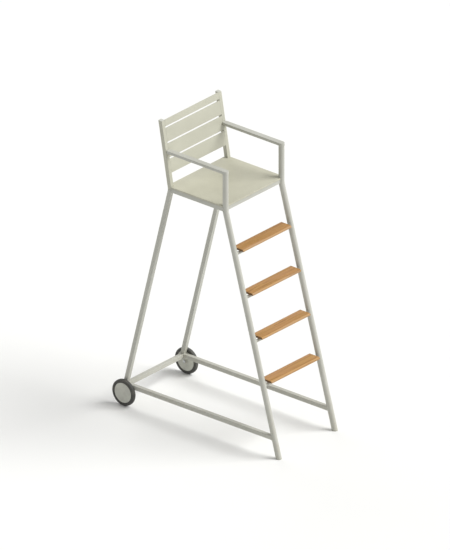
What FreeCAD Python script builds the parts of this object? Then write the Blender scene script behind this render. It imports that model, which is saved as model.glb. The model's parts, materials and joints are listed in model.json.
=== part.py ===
import FreeCAD, Part
import math
import os

import Sketcher

# A tennis umpire chair: a seat at standing height, reached by four wooden treads between the front
# legs, on a welded tube frame that stands on two feet in front and two wheels behind.
# Millimetres. +Z is up, the sitter faces -Y, and left is -X, as seen from the front.
# The origin lies on the floor, under the middle of the whole chair.

LEFT = -1
RIGHT = 1
SIDES = {"left": LEFT, "right": RIGHT}
TREADS = (1, 2, 3, 4)
SLATS = (1, 2, 3, 4)
SEAT_SCREWS = 3

Vector = FreeCAD.Vector
X_AXIS = Vector(1, 0, 0)
Y_AXIS = Vector(0, 1, 0)
Z_AXIS = Vector(0, 0, 1)
QUARTER_TURN = 90
TINY = 0.001

# Numbers that a sketch uses for its origin, its Y axis, and the points of a line or an arc
ORIGIN = -1
SKETCH_Y = -2
START = 1
END = 2
CENTRE = 3

# Side of the blocks that cut tube ends: more than any of them needs
BLOCK = "(3 * sizes.round_tube)"

doc = FreeCAD.newDocument("umpire_chair")
nodes = {}


# Driving dimensions, in millimetres and degrees

SIZES = [
    ("frame_width", 620, "outside of the square tubes"),
    ("seat_height", 1736, "floor to the top of the seat"),
    ("back_rise", 464, "seat to the top of the back posts"),
    ("seat_depth", 474, "front post axis to the corner where back post and rear leg meet"),
    ("front_lean", 15.43, "front legs, from upright"),
    ("rear_lean", 14.15, "rear legs, from upright"),
    ("back_lean", 9.87, "back posts, from upright"),
    ("base_clearance", 130, "floor to the underside of the base rails"),
    ("square_tube", 30, "outside of the square tube"),
    ("square_wall", 2, "wall of the square tube"),
    ("square_corner", 2, "outer corner radius of the square tube"),
    ("round_tube", 40, "diameter of the front legs and the posts"),
    ("round_wall", 2, "wall of the round tube"),
    ("cap_thickness", 2.5, "plate of the tube caps"),
    ("plug_depth", 18, "how far the caps and feet reach into their tubes"),
    ("foot_pad", 8, "height of the rubber under the front legs"),
    ("fit_gap", 0.1, "clearance of plugs and screws in their bores, all round"),
    ("weld_gap", 0.1, "clearance of a tube end that is shaped to a round tube"),
    ("cope_start", 5, "shaped ends of the side rails start this far behind the round tube's axis"),
    ("seat_thickness", 10, "seat panel"),
    ("seat_overhang", 3.5, "seat panel past the front rail"),
    ("seat_tail", 24, "seat panel behind the rear corner of the frame"),
    ("panel_gap", 0.3, "clearance of the seat panel round the posts"),
    ("front_rail_set", 10, "front rail axis behind the post axis"),
    ("armrest_rise", 257, "seat to the top of the armrests"),
    ("armrest_width", 42, "armrest bar"),
    ("armrest_thickness", 20, "armrest bar"),
    ("armrest_edge", 2, "rounding of the armrest's edges"),
    ("armrest_bite", 3, "how much of the rounded rear end is cut flat against the back post"),
    ("slat_thickness", 5, "backrest slats"),
    ("slat_height", 98, "the three lower slats"),
    ("top_slat_height", 47, "the top slat"),
    ("slat_space", 12, "gap between slats"),
    ("top_tread_drop", 308, "seat down to the top tread"),
    ("tread_pitch", 300, "rise from tread to tread"),
    ("tread_length", 500, "tread across the chair"),
    ("tread_depth", 100, "tread from front to back"),
    ("tread_thickness", 16, "tread"),
    ("tread_round", 14, "radius of the tread's upper long edges"),
    ("rung_diameter", 22, "tube under each tread"),
    ("rung_wall", 2, "wall of that tube"),
    ("rung_bite", 6, "how far a rung's shaped ends reach along the leg"),
    ("bearer_length", 470, "flat bar on each rung"),
    ("bearer_depth", 60, "flat bar on each rung"),
    ("bearer_thickness", 4, "flat bar on each rung"),
    ("tread_screw_inset", 60, "tread screws from the ends of the tread"),
    ("tread_screw_offset", 21, "tread screws in front of and behind the rung axis"),
    ("tread_screw_grip", 11, "depth of the tread screws in the wood"),
    ("seat_screw_inset", 75, "first and last seat screws from the ends of the side rails"),
    ("seat_screw_grip", 7, "depth of the seat screws in the panel"),
    ("screw_diameter", 5, "screw shank"),
    ("screw_head", 9, "screw head diameter"),
    ("screw_head_height", 2.5, "screw head"),
    ("wheel_diameter", 190, "outside of the tyre"),
    ("wheel_width", 26, "tyre"),
    ("wheel_gap", 2, "frame side to the wheel's inner face"),
    ("axle_forward", 3, "axle in front of the foot of the rear leg"),
    ("tyre_bore", 143, "inside diameter of the tyre"),
    ("tyre_round", 5, "shoulders of the tyre"),
    ("rim_wall", 5, "rim of the wheel core"),
    ("web_thickness", 4, "disc between hub and rim"),
    ("web_inset", 8, "inner face of the wheel to that disc"),
    ("hub_diameter", 28, "hub of the wheel core"),
    ("hub_length", 15.5, "hub of the wheel core"),
    ("cover_thickness", 2, "wheel covers"),
    ("cover_gap", 0.3, "gap between the inner cover and the hub"),
    ("bush_wall", 3, "bush in the hub"),
    ("axle_diameter", 12, "axle bolt"),
    ("running_gap", 0.05, "clearance of the bush on the axle, all round"),
    ("hex_width", 19, "across the flats of the bolt head and nut"),
    ("bolt_head", 7, "height of the bolt head"),
    ("nut_height", 6, "axle nut"),
    ("washer_diameter", 24, "axle washers"),
    ("washer_thickness", 1.5, "axle washers"),
    ("washer_gap", 0.2, "clearance of the washers on the bolt, all round"),
    ("end_play", 0.5, "wheel hub to each washer"),
    ("lug_thickness", 6, "plate that carries the axle"),
    ("lug_width", 32, "plate that carries the axle"),
]

# Places and sizes that follow from the driving dimensions

LAYOUT = [
    ("half_frame", "sizes.frame_width / 2", "outer side of the frame"),
    ("back_height", "sizes.seat_height + sizes.back_rise", "floor to the top of the back posts"),
    ("inner_side", "half_frame - sizes.square_tube", "inner side of the square tubes"),
    ("rail_x", "half_frame - sizes.square_tube / 2", "axis of the square side tubes"),
    ("post_x", "half_frame - sizes.round_tube / 2", "axis of the front legs and posts"),
    ("square_bore", "sizes.square_tube - 2 * sizes.square_wall", "inside of the square tube"),
    ("round_bore", "sizes.round_tube - 2 * sizes.round_wall", "inside of the round tube"),
    ("rail_top", "sizes.seat_height - sizes.seat_thickness", "top of the seat rails"),
    ("rail_z", "rail_top - sizes.square_tube / 2", "axis of the seat rails"),
    ("knee_z", "rail_top - sizes.square_tube", "where the leg turns into the upright post"),
    ("base_top", "sizes.base_clearance + sizes.square_tube", "top of the base rails"),
    ("base_z", "sizes.base_clearance + sizes.square_tube / 2", "axis of the base rails"),
    ("foot_half", "sizes.round_tube / 2 / cos(sizes.front_lean)", "half the foot's length on the floor"),
    ("knee_run", "knee_z * tan(sizes.front_lean)", "foot to knee, along Y"),
    ("rear_run", "(rail_z - base_top) * tan(sizes.rear_lean)", "rear corner to the rear leg's foot"),
    ("axle_run", "knee_run + sizes.seat_depth + rear_run - sizes.axle_forward", "foot to axle"),
    ("wheel_radius", "sizes.wheel_diameter / 2", "also the height of the axle"),
    ("foot_y", "(foot_half - axle_run - wheel_radius) / 2", "puts the origin under the middle"),
    ("post_y", "foot_y + knee_run", "axis of the upright posts"),
    ("node_y", "post_y + sizes.seat_depth", "rear corner of the frame"),
    ("rear_foot_y", "node_y + rear_run", "foot of the rear leg"),
    ("axle_y", "foot_y + axle_run", "axle"),
    ("tube_reach", "sizes.square_tube / 2 / cos(sizes.rear_lean)", "half the rear leg's foot"),
    ("base_end", "rear_foot_y + tube_reach", "rear end of the base"),
    ("base_start", "foot_y + base_top * tan(sizes.front_lean) + sizes.cope_start",
     "front end of the base rails"),
    ("front_leg_length", "knee_z / cos(sizes.front_lean)", "floor to knee along the leg"),
    ("rear_leg_length", "(rail_z - base_top) / cos(sizes.rear_lean)", "along the rear leg"),
    ("back_length", "(back_height - rail_z) / cos(sizes.back_lean)", "along the back post"),
    ("knee_turn", "sizes.front_lean / 2", "tilt of the mitre at the knee"),
    ("node_turn", "(sizes.rear_lean - sizes.back_lean) / 2", "tilt of the mitre at the rear corner"),
    ("cap_seat", "back_height - sizes.cap_thickness", "top end of the back post tubes"),
    ("back_top_y", "node_y + (back_height - rail_z) * tan(sizes.back_lean)", "post's top end"),
    ("front_rail_y", "post_y + sizes.front_rail_set", "axis of the front rail"),
    ("seat_front", "front_rail_y - sizes.square_tube / 2 - sizes.seat_overhang", "front edge"),
    ("seat_back", "node_y + sizes.seat_tail", "back edge of the seat"),
    ("back_face", "sizes.square_tube / 2 / cos(sizes.back_lean)", "post axis to its face, along Y"),
    ("back_notch", "node_y - back_face + sizes.square_tube / 2 * tan(sizes.back_lean)",
     "front face of the back post at the seat's underside"),
    ("armrest_top", "sizes.seat_height + sizes.armrest_rise", "top of the armrests"),
    ("armrest_under", "armrest_top - sizes.armrest_thickness", "top end of the upright posts"),
    ("armrest_middle", "armrest_top - sizes.armrest_thickness / 2 - rail_z", "above the rear corner"),
    ("armrest_end", "node_y - back_face + armrest_middle * tan(sizes.back_lean)", "meets the post"),
    ("armrest_span", "armrest_end + sizes.armrest_bite - sizes.armrest_width / 2 - post_y",
     "between the centres of the rounded ends"),
    ("slat_set", "(sizes.slat_thickness - sizes.square_tube) / 2", "slat's middle, from the post axis"),
    ("slats_end", "back_length - sizes.square_tube / 2 * tan(sizes.back_lean)", "top of the slats"),
    ("slat_pitch", "sizes.slat_height + sizes.slat_space", "slat to slat"),
    ("slats_start", "slats_end - sizes.top_slat_height - %d * slat_pitch" % (len(SLATS) - 1),
     "bottom of the slats"),
    ("support_height", "sizes.tread_thickness + sizes.bearer_thickness", "tread top to rung top"),
    ("rung_drop", "support_height + sizes.rung_diameter / 2", "tread top to rung axis"),
    ("wheel_face", "half_frame + sizes.wheel_gap", "inner face of the wheel"),
    ("wheel_outside", "wheel_face + sizes.wheel_width", "outer face of the wheel"),
    ("hub_end", "wheel_face + sizes.hub_length", "outer end of the hub"),
    ("nut_start", "hub_end + sizes.end_play + sizes.washer_thickness", "inner face of the nut"),
    ("nut_end", "nut_start + sizes.nut_height", "outer face of the nut and end of the bolt"),
    ("inner_washer_end", "wheel_face - sizes.end_play", "washer against the lug"),
    ("lug_face", "inner_washer_end - sizes.washer_thickness", "outer face of the lug"),
    ("lug_inside", "lug_face - sizes.lug_thickness", "inner face of the lug"),
    ("core_diameter", "sizes.tyre_bore - 2 * sizes.fit_gap", "outside of the wheel core"),
    ("bush_diameter", "sizes.axle_diameter + 2 * sizes.running_gap + 2 * sizes.bush_wall", "bush"),
    ("hex_radius", "sizes.hex_width / 2 / cos(30)", "across the corners of the bolt head and nut"),
    ("hole_diameter", "sizes.screw_diameter + 2 * sizes.fit_gap", "holes for the screws"),
]


def fill_sheet(name, rows, lead):
    """Make a sheet with a name, a value and a note in each row, and an alias on the value."""
    sheet = doc.addObject("Spreadsheet::Sheet", name)
    for row, (alias, value, note) in enumerate(rows, start=1):
        sheet.set("A%d" % row, alias)
        sheet.set("B%d" % row, lead + str(value))
        sheet.setAlias("B%d" % row, alias)
        sheet.set("C%d" % row, note)
    return sheet


sizes = fill_sheet("sizes", SIZES, "")
doc.recompute()
layout = fill_sheet("layout", LAYOUT, "=")
doc.recompute()


# Helpers: sketched outlines, extruded bodies, placing and cutting

def value_of(formula):
    """The present value of a formula."""
    return float(sizes.evalExpression(formula))


def tie(sketch, kind, points, formula):
    """Add a dimension to a sketch and bind it to a formula."""
    index = sketch.addConstraint(Sketcher.Constraint(kind, *points, value_of(formula)))
    sketch.setExpression("Constraints[%d]" % index, formula)


def relate(sketch, kind, *points):
    """Add a constraint without a size."""
    sketch.addConstraint(Sketcher.Constraint(kind, *points))


def rectangle(width, depth):
    """An outline: a rectangle centred on the body's axis."""
    def draw(sketch):
        half_x = value_of(width) / 2
        half_y = value_of(depth) / 2
        corners = [Vector(-half_x, -half_y, 0), Vector(half_x, -half_y, 0),
                   Vector(half_x, half_y, 0), Vector(-half_x, half_y, 0)]
        lines = []
        for start, end in zip(corners, corners[1:] + corners[:1]):
            lines.append(sketch.addGeometry(Part.LineSegment(start, end), False))
        bottom, right, top, left = lines
        for line, following in zip(lines, lines[1:] + lines[:1]):
            relate(sketch, "Coincident", line, END, following, START)
        relate(sketch, "Horizontal", bottom)
        relate(sketch, "Horizontal", top)
        relate(sketch, "Vertical", right)
        relate(sketch, "Vertical", left)
        relate(sketch, "Symmetric", bottom, START, top, START, ORIGIN, START)
        tie(sketch, "DistanceX", (bottom, START, bottom, END), width)
        tie(sketch, "DistanceY", (right, START, right, END), depth)
    return draw


def circle(diameter):
    """An outline: a circle round the body's axis."""
    def draw(sketch):
        ring = sketch.addGeometry(Part.Circle(Vector(), Z_AXIS, value_of(diameter) / 2), False)
        relate(sketch, "Coincident", ring, CENTRE, ORIGIN, START)
        tie(sketch, "Diameter", (ring,), diameter)
    return draw


def stadium(span, width):
    """An outline: two half circles joined by straight sides, the front one round the body's axis."""
    def draw(sketch):
        radius = value_of(width) / 2
        far = value_of(span)
        front_circle = Part.Circle(Vector(), Z_AXIS, radius)
        rear_circle = Part.Circle(Vector(0, far, 0), Z_AXIS, radius)
        right_side = Part.LineSegment(Vector(radius, 0, 0), Vector(radius, far, 0))
        left_side = Part.LineSegment(Vector(-radius, far, 0), Vector(-radius, 0, 0))
        front = sketch.addGeometry(Part.ArcOfCircle(front_circle, math.pi, 2 * math.pi), False)
        right = sketch.addGeometry(right_side, False)
        rear = sketch.addGeometry(Part.ArcOfCircle(rear_circle, 0, math.pi), False)
        left = sketch.addGeometry(left_side, False)
        relate(sketch, "Coincident", front, CENTRE, ORIGIN, START)
        relate(sketch, "PointOnObject", rear, CENTRE, SKETCH_Y)
        relate(sketch, "Tangent", front, END, right, START)
        relate(sketch, "Tangent", right, END, rear, START)
        relate(sketch, "Tangent", rear, END, left, START)
        relate(sketch, "Tangent", left, END, front, START)
        relate(sketch, "Equal", front, rear)
        tie(sketch, "DistanceY", (ORIGIN, START, rear, CENTRE), span)
        tie(sketch, "Diameter", (front,), width)
    return draw


def extruded(name, outlines, start, end, back="0"):
    """A body extruded along its own Z from start to end, its outlines moved back along its own Y."""
    body = doc.addObject("PartDesign::Body", name)
    sketch = body.newObject("Sketcher::SketchObject", name + "_outline")
    plane = [feature for feature in body.Origin.OriginFeatures if feature.Role == "XY_Plane"][0]
    sketch.AttachmentSupport = [(plane, "")]
    sketch.MapMode = "FlatFace"
    sketch.setExpression("AttachmentOffset.Base.y", back)
    sketch.setExpression("AttachmentOffset.Base.z", start)
    for draw in outlines:
        draw(sketch)
    pad = body.newObject("PartDesign::Pad", name + "_pad")
    pad.Profile = sketch
    pad.setExpression("Length", "%s - (%s)" % (end, start))
    return body


def round_edges(body, radius, wanted):
    """Round each edge of a body for which wanted(edge) is true."""
    doc.recompute()
    solid = body.Tip
    edges = ["Edge%d" % number for number, edge in enumerate(solid.Shape.Edges, start=1)
             if wanted(edge)]
    fillet = body.newObject("PartDesign::Fillet", body.Name + "_rounding")
    fillet.Base = (solid, edges)
    fillet.setExpression("Radius", radius)
    return body


def lengthwise(edge):
    """True for a straight edge along the body's own Z."""
    box = edge.BoundBox
    return box.XLength < TINY and box.YLength < TINY


def in_plane(edge):
    """True for an edge that lies in one plane across the body's own Z."""
    return edge.BoundBox.ZLength < TINY


def place(thing, x="0", y="0", z="0", axis=Z_AXIS, turn="0"):
    """Bind a shape's place, and its turn about an axis, to formulas."""
    thing.Placement = FreeCAD.Placement(Vector(), FreeCAD.Rotation(axis, 1))
    thing.setExpression("Placement.Base.x", x)
    thing.setExpression("Placement.Base.y", y)
    thing.setExpression("Placement.Base.z", z)
    thing.setExpression("Placement.Rotation.Angle", turn)
    return thing


def cut(name, base, *tools):
    """Take the tools away from the base, one after another."""
    for number, tool in enumerate(tools, start=1):
        step = doc.addObject("Part::Cut", "%s_cut_%d" % (name, number))
        step.Base = base
        step.Tool = tool
        base = step
    return base


def fused(name, pieces):
    """Join pieces into one solid."""
    union = doc.addObject("Part::MultiFuse", name + "_union")
    union.Shapes = pieces
    union.Refine = True
    return union


def grouped(name, pieces):
    """Keep separate solids together."""
    group = doc.addObject("Part::Compound", name + "_group")
    group.Links = pieces
    return group


def below(name, spot):
    """A block that fills the space under the plane at a spot."""
    return place(extruded(name, [rectangle(BLOCK, BLOCK)], "-" + BLOCK, "0"), **spot)


def above(name, spot):
    """A block that fills the space over the plane at a spot."""
    return place(extruded(name, [rectangle(BLOCK, BLOCK)], "0", BLOCK), **spot)


def round_solid(name, spot, start, end, diameter):
    """A solid cylinder along the line of a spot."""
    return place(extruded(name, [circle(diameter)], start, end), **spot)


def round_pipe(name, spot, start, end, diameter, bore):
    """A round tube along the line of a spot."""
    return place(extruded(name, [circle(diameter), circle(bore)], start, end), **spot)


def square_solid(name, spot, start, end):
    """The outer shape of the square tube, filled, along the line of a spot."""
    body = extruded(name, [rectangle("sizes.square_tube", "sizes.square_tube")], start, end)
    return place(round_edges(body, "sizes.square_corner", lengthwise), **spot)


def square_hollow(name, spot, start, end):
    """The inside of the square tube along the line of a spot."""
    return place(extruded(name, [rectangle("layout.square_bore", "layout.square_bore")],
                          start, end), **spot)


def square_pipe(name, spot, start, end):
    """A square tube along the line of a spot."""
    return cut(name, square_solid(name + "_solid", spot, start, end),
               square_hollow(name + "_hollow", spot, start, end))


def keep(node, thing):
    """Make a shape one of the chair's sub-parts."""
    thing.Label = node
    nodes[node] = thing


# Spots: where each line of the frame starts, and which way it runs

def across(y, z, x="0", side=RIGHT):
    """Along X, outward on the given side."""
    return {"x": x, "y": y, "z": z, "axis": Y_AXIS, "turn": "%d" % (side * QUARTER_TURN)}


def rearward(x, y, z):
    """Along Y, to the rear."""
    return {"x": x, "y": y, "z": z, "axis": X_AXIS, "turn": "-%d" % QUARTER_TURN}


def upright(x, y, z):
    """Along Z."""
    return {"x": x, "y": y, "z": z}


def on_side(side, distance):
    """The formula of an X that lies at a distance to one side."""
    return "%d * %s" % (side, distance)


def front_leg_line(side):
    return {"x": on_side(side, "layout.post_x"), "y": "layout.foot_y", "z": "0",
            "axis": X_AXIS, "turn": "-sizes.front_lean"}


def post_line(side):
    return upright(on_side(side, "layout.post_x"), "layout.post_y", "layout.knee_z")


def knee_mitre(side):
    return dict(post_line(side), axis=X_AXIS, turn="-layout.knee_turn")


def rear_corner(side, turn):
    return {"x": on_side(side, "layout.rail_x"), "y": "layout.node_y", "z": "layout.rail_z",
            "axis": X_AXIS, "turn": turn}


def back_post_line(side):
    return rear_corner(side, "-sizes.back_lean")


def rear_leg_line(side):
    return rear_corner(side, "sizes.rear_lean")


def corner_mitre(side):
    return rear_corner(side, "layout.node_turn")


# Front legs with their feet, and the posts that carry the armrests

def build_front_leg(side, word):
    """The leg: a leaning round tube, level at the foot and mitred at the knee."""
    name = "front_leg_" + word
    line = front_leg_line(side)
    top = "layout.front_leg_length + sizes.round_tube"
    tube = round_pipe(name + "_tube", line, "-sizes.round_tube", top,
                      "sizes.round_tube", "layout.round_bore")
    pad_top = upright(line["x"], line["y"], "sizes.foot_pad")
    under_pad_top = below(name + "_foot_block", pad_top)
    over_knee = above(name + "_knee_block", knee_mitre(side))
    keep(name, cut(name, tube, under_pad_top, over_knee))

    foot = "foot_" + word
    pad = round_solid(foot + "_pad", line, "-sizes.round_tube", "sizes.round_tube",
                      "sizes.round_tube")
    plug = round_solid(foot + "_plug", line, "0", "sizes.foot_pad + sizes.plug_depth",
                       "layout.round_bore - 2 * sizes.fit_gap")
    floor = below(foot + "_floor_block", upright(line["x"], line["y"], "0"))
    over_pad = above(foot + "_pad_block", pad_top)
    keep(foot, fused(foot, [cut(foot + "_pad", pad, floor, over_pad),
                            cut(foot + "_plug", plug, under_pad_top)]))


def build_armrest(side, word):
    """The upright post on the knee, and the flat bar from its top to the back post."""
    post = "armrest_post_" + word
    tube = round_pipe(post + "_tube", post_line(side), "-sizes.round_tube",
                      "layout.armrest_under - layout.knee_z", "sizes.round_tube",
                      "layout.round_bore")
    keep(post, cut(post, tube, below(post + "_knee_block", knee_mitre(side))))

    armrest = "armrest_" + word
    bar = extruded(armrest + "_bar", [stadium("layout.armrest_span", "sizes.armrest_width")],
                   "0", "sizes.armrest_thickness")
    round_edges(bar, "sizes.armrest_edge", in_plane)
    place(bar, on_side(side, "layout.post_x"), "layout.post_y", "layout.armrest_under")
    behind = extruded(armrest + "_end_block",
                      [rectangle("2 * sizes.armrest_width",
                                 "sizes.square_tube + 2 * sizes.weld_gap")],
                      "0", "layout.back_length")
    place(behind, **back_post_line(side))
    keep(armrest, cut(armrest, bar, behind))


# Rear legs, and the back posts with their caps

def build_back_post(side, word):
    """The back post: a leaning square tube, mitred onto the rear leg and capped level at the top."""
    name = "back_post_" + word
    line = back_post_line(side)
    top = "layout.back_length + sizes.square_tube"
    outside = square_solid(name + "_solid", line, "-sizes.square_tube", top)
    inside = square_hollow(name + "_hollow", line, "-sizes.square_tube", top)
    cap_seat = upright(line["x"], "layout.back_top_y", "layout.cap_seat")
    over_tube = above(name + "_top_block", cap_seat)
    under_corner = below(name + "_corner_block", corner_mitre(side))
    keep(name, cut(name, outside, inside, under_corner, over_tube))

    cap = "back_post_cap_" + word
    under_plate = below(cap + "_under_block", cap_seat)
    over_plate = above(cap + "_over_block",
                       upright(line["x"], "layout.back_top_y", "layout.back_height"))
    plug_width = "layout.square_bore - 2 * sizes.fit_gap"
    plug = extruded(cap + "_plug", [rectangle(plug_width, plug_width)],
                    "layout.back_length - sizes.plug_depth", top)
    place(plug, **line)
    plate = square_solid(cap + "_plate", line, "layout.back_length - sizes.square_tube", top)
    keep(cap, fused(cap, [cut(cap + "_plate", plate, under_plate, over_plate),
                          cut(cap + "_plug", plug, over_tube)]))


def build_rear_leg(side, word):
    """The rear leg: a leaning square tube from the corner under the seat to the base rail."""
    name = "rear_leg_" + word
    line = rear_leg_line(side)
    bottom = "-layout.rear_leg_length - sizes.square_tube"
    tube = square_pipe(name, line, bottom, "sizes.square_tube")
    over_corner = above(name + "_corner_block", corner_mitre(side))
    under_foot = below(name + "_foot_block",
                       upright(line["x"], "layout.rear_foot_y", "layout.base_top"))
    keep(name, cut(name + "_end", tube, over_corner, under_foot))


# Seat: four rails and a panel, screwed to the side rails from below

def rear_corner_blocks(side, word):
    """The back post and rear leg as sharp-edged filled bars, to shape the side rail's end."""
    outline = [rectangle("sizes.square_tube", "sizes.square_tube")]
    post = place(extruded("corner_post_" + word, outline, "-sizes.square_tube",
                          "2 * sizes.square_tube"), **back_post_line(side))
    leg = place(extruded("corner_leg_" + word, outline, "-2 * sizes.square_tube",
                         "sizes.square_tube"), **rear_leg_line(side))
    mitre = corner_mitre(side)
    return [cut("corner_post_" + word, post, below("corner_post_block_" + word, mitre)),
            cut("corner_leg_" + word, leg, above("corner_leg_block_" + word, mitre))]


def post_cutter(side, word):
    """The upright post with the clearance of a shaped tube end."""
    return round_solid("post_cutter_" + word, post_line(side), "-sizes.round_tube", BLOCK,
                       "sizes.round_tube + 2 * sizes.weld_gap")


def leg_cutter(side, word):
    """The front leg with the clearance of a shaped tube end."""
    return round_solid("leg_cutter_" + word, front_leg_line(side), "0", "layout.front_leg_length",
                       "sizes.round_tube + 2 * sizes.weld_gap")


def seat_screw_spots(side):
    """Under the side rail, evenly spaced."""
    free = "(sizes.seat_depth - 2 * sizes.seat_screw_inset)"
    for number in range(SEAT_SCREWS):
        y = "layout.post_y + sizes.seat_screw_inset + %d * %s / %d" % (number, free, SEAT_SCREWS - 1)
        yield upright(on_side(side, "layout.rail_x"), y, "layout.knee_z")


def screw(name, spot, grip):
    """A screw with its head under a spot and its shank reaching up from it."""
    head = round_solid(name + "_head", spot, "-sizes.screw_head_height", "0", "sizes.screw_head")
    shank = round_solid(name + "_shank", spot, "0", grip, "sizes.screw_diameter")
    return fused(name, [head, shank])


def screw_hole(name, spot, grip):
    """The hole for a screw, with its clearance all round and at the tip."""
    return round_solid(name, spot, "0", grip + " + sizes.fit_gap", "layout.hole_diameter")


def build_seat():
    screws = []
    holes = {}
    grip = "sizes.square_tube + sizes.seat_screw_grip"
    for word, side in SIDES.items():
        side_holes = []
        for number, spot in enumerate(seat_screw_spots(side), start=1):
            name = "seat_screw_%s_%d" % (word, number)
            screws.append(screw(name, spot, grip))
            side_holes.append(screw_hole(name + "_hole", spot, grip))
        holes[word] = grouped("seat_holes_" + word, side_holes)
    keep("seat_screws", grouped("seat_screws", screws))

    post_cutters = []
    for word, side in SIDES.items():
        post = post_cutter(side, word)
        post_cutters.append(post)
        name = "seat_side_rail_" + word
        spot = rearward(on_side(side, "layout.rail_x"), "layout.post_y", "layout.rail_z")
        rail = square_pipe(name, spot, "sizes.cope_start", "sizes.seat_depth")
        keep(name, cut(name + "_end", rail, post, *rear_corner_blocks(side, word), holes[word]))

    ends = ("-layout.inner_side", "layout.inner_side")
    front = square_pipe("seat_front_rail", across("layout.front_rail_y", "layout.rail_z"), *ends)
    keep("seat_front_rail", cut("seat_front_rail_end", front, *post_cutters))
    keep("seat_rear_rail",
         square_pipe("seat_rear_rail", across("layout.node_y", "layout.rail_z"), *ends))

    panel = extruded("seat_panel_board",
                     [rectangle("sizes.frame_width", "layout.seat_back - layout.seat_front")],
                     "0", "sizes.seat_thickness")
    place(panel, "0", "(layout.seat_back + layout.seat_front) / 2", "layout.rail_top")
    notches = []
    for word, side in SIDES.items():
        notches.append(round_solid("panel_post_" + word, post_line(side), "0", BLOCK,
                                   "sizes.round_tube + 2 * sizes.panel_gap"))
        notch = [rectangle("2 * sizes.square_tube", "2 * sizes.square_tube")]
        front_corner = extruded("panel_front_" + word, notch, "0", BLOCK)
        place(front_corner, on_side(side, "(layout.post_x + sizes.square_tube)"),
              "layout.front_rail_y - sizes.square_tube", "layout.knee_z")
        rear_corner_notch = extruded("panel_rear_" + word, notch, "0", BLOCK)
        place(rear_corner_notch,
              on_side(side, "(layout.inner_side - sizes.panel_gap + sizes.square_tube)"),
              "layout.back_notch - sizes.panel_gap + sizes.square_tube", "layout.knee_z")
        notches.extend([front_corner, rear_corner_notch, holes[word]])
    keep("seat_panel", cut("seat_panel", panel, *notches))


# Backrest: four slats between the back posts, flush with their front faces

def build_backrest():
    line = dict(back_post_line(RIGHT), x="0")
    outline = [rectangle("2 * layout.inner_side", "sizes.slat_thickness")]
    for number in SLATS:
        start = "layout.slats_start + %d * layout.slat_pitch" % (number - 1)
        height = "sizes.top_slat_height" if number == SLATS[-1] else "sizes.slat_height"
        slat = extruded("slat_%d" % number, outline, start, "%s + %s" % (start, height),
                        back="layout.slat_set")
        keep("backrest_slat_%d" % number, place(slat, **line))


# Base: two rails along the floor with capped rear ends, and the tube between them

def build_base(leg_cutters):
    for word, side in SIDES.items():
        name = "base_rail_" + word
        spot = rearward(on_side(side, "layout.rail_x"), "layout.base_start", "layout.base_z")
        length = "layout.base_end - layout.base_start"
        tube_end = length + " - sizes.cap_thickness"
        rail = square_pipe(name, spot, "0", tube_end)
        keep(name, cut(name + "_end", rail, leg_cutters[word]))

        cap = "base_rail_cap_" + word
        plate = square_solid(cap + "_plate", spot, tube_end, length)
        plug_width = "layout.square_bore - 2 * sizes.fit_gap"
        plug = extruded(cap + "_plug", [rectangle(plug_width, plug_width)],
                        tube_end + " - sizes.plug_depth", length)
        keep(cap, fused(cap, [plate, place(plug, **spot)]))

    spot = across("layout.base_end - sizes.square_tube / 2", "layout.base_z")
    keep("rear_cross_tube",
         square_pipe("rear_cross_tube", spot, "-layout.inner_side", "layout.inner_side"))


# Treads: each a wooden board screwed to a flat bar, on a round tube between the front legs

def build_tread(number, leg_cutters):
    """One tread with its rung and bearer; returns its screws."""
    top = "(sizes.seat_height - sizes.top_tread_drop - %d * sizes.tread_pitch)" % (TREADS[-1] - number)
    rung_z = "(%s - layout.rung_drop)" % top
    rung_y = "layout.foot_y + %s * tan(sizes.front_lean)" % rung_z
    bearer_z = "%s - layout.support_height" % top
    reach = "(layout.post_x - sizes.round_tube / 2 + sizes.rung_bite)"

    rung = "tread_rung_%d" % number
    tube = round_pipe(rung + "_tube", across(rung_y, rung_z), "-" + reach, reach,
                      "sizes.rung_diameter", "sizes.rung_diameter - 2 * sizes.rung_wall")
    keep(rung, cut(rung, tube, *leg_cutters.values()))

    screws = []
    holes = []
    grip = "sizes.bearer_thickness + sizes.tread_screw_grip"
    screw_x = "(sizes.tread_length / 2 - sizes.tread_screw_inset)"
    for word, side in SIDES.items():
        for row, way in (("front", -1), ("rear", 1)):
            name = "tread_%d_screw_%s_%s" % (number, word, row)
            y = "%s + %d * sizes.tread_screw_offset" % (rung_y, way)
            spot = upright(on_side(side, screw_x), y, bearer_z)
            screws.append(screw(name, spot, grip))
            holes.append(screw_hole(name + "_hole", spot, grip))
    all_holes = grouped("tread_%d_holes" % number, holes)

    bearer = "tread_bearer_%d" % number
    bar = extruded(bearer + "_bar", [rectangle("sizes.bearer_length", "sizes.bearer_depth")],
                   "0", "sizes.bearer_thickness")
    keep(bearer, cut(bearer, place(bar, "0", rung_y, bearer_z), all_holes))

    tread = "tread_%d" % number
    board = extruded(tread + "_board", [rectangle("sizes.tread_length", "sizes.tread_depth")],
                     "0", "sizes.tread_thickness")
    thickness = value_of("sizes.tread_thickness")
    round_edges(board, "min(sizes.tread_round; sizes.tread_thickness - sizes.fit_gap)",
                lambda edge: edge.BoundBox.YLength < TINY and edge.BoundBox.ZMin > thickness - TINY)
    place(board, "0", "layout.foot_y + %s * tan(sizes.front_lean)" % top,
          "%s - sizes.tread_thickness" % top)
    keep(tread, cut(tread, board, all_holes))
    return screws


# Wheels: a tyre on a hollow core between two flat covers, turning on a stub axle under the base rail

def hexagon(name, side, start, height):
    """A hexagonal bar round the axle, from start outward."""
    prism = doc.addObject("Part::Prism", name)
    prism.Polygon = 6
    prism.setExpression("Circumradius", "layout.hex_radius")
    prism.setExpression("Height", height)
    return place(prism, **across("layout.axle_y", "layout.wheel_radius",
                                 x=on_side(side, "(%s)" % start), side=side))


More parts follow.
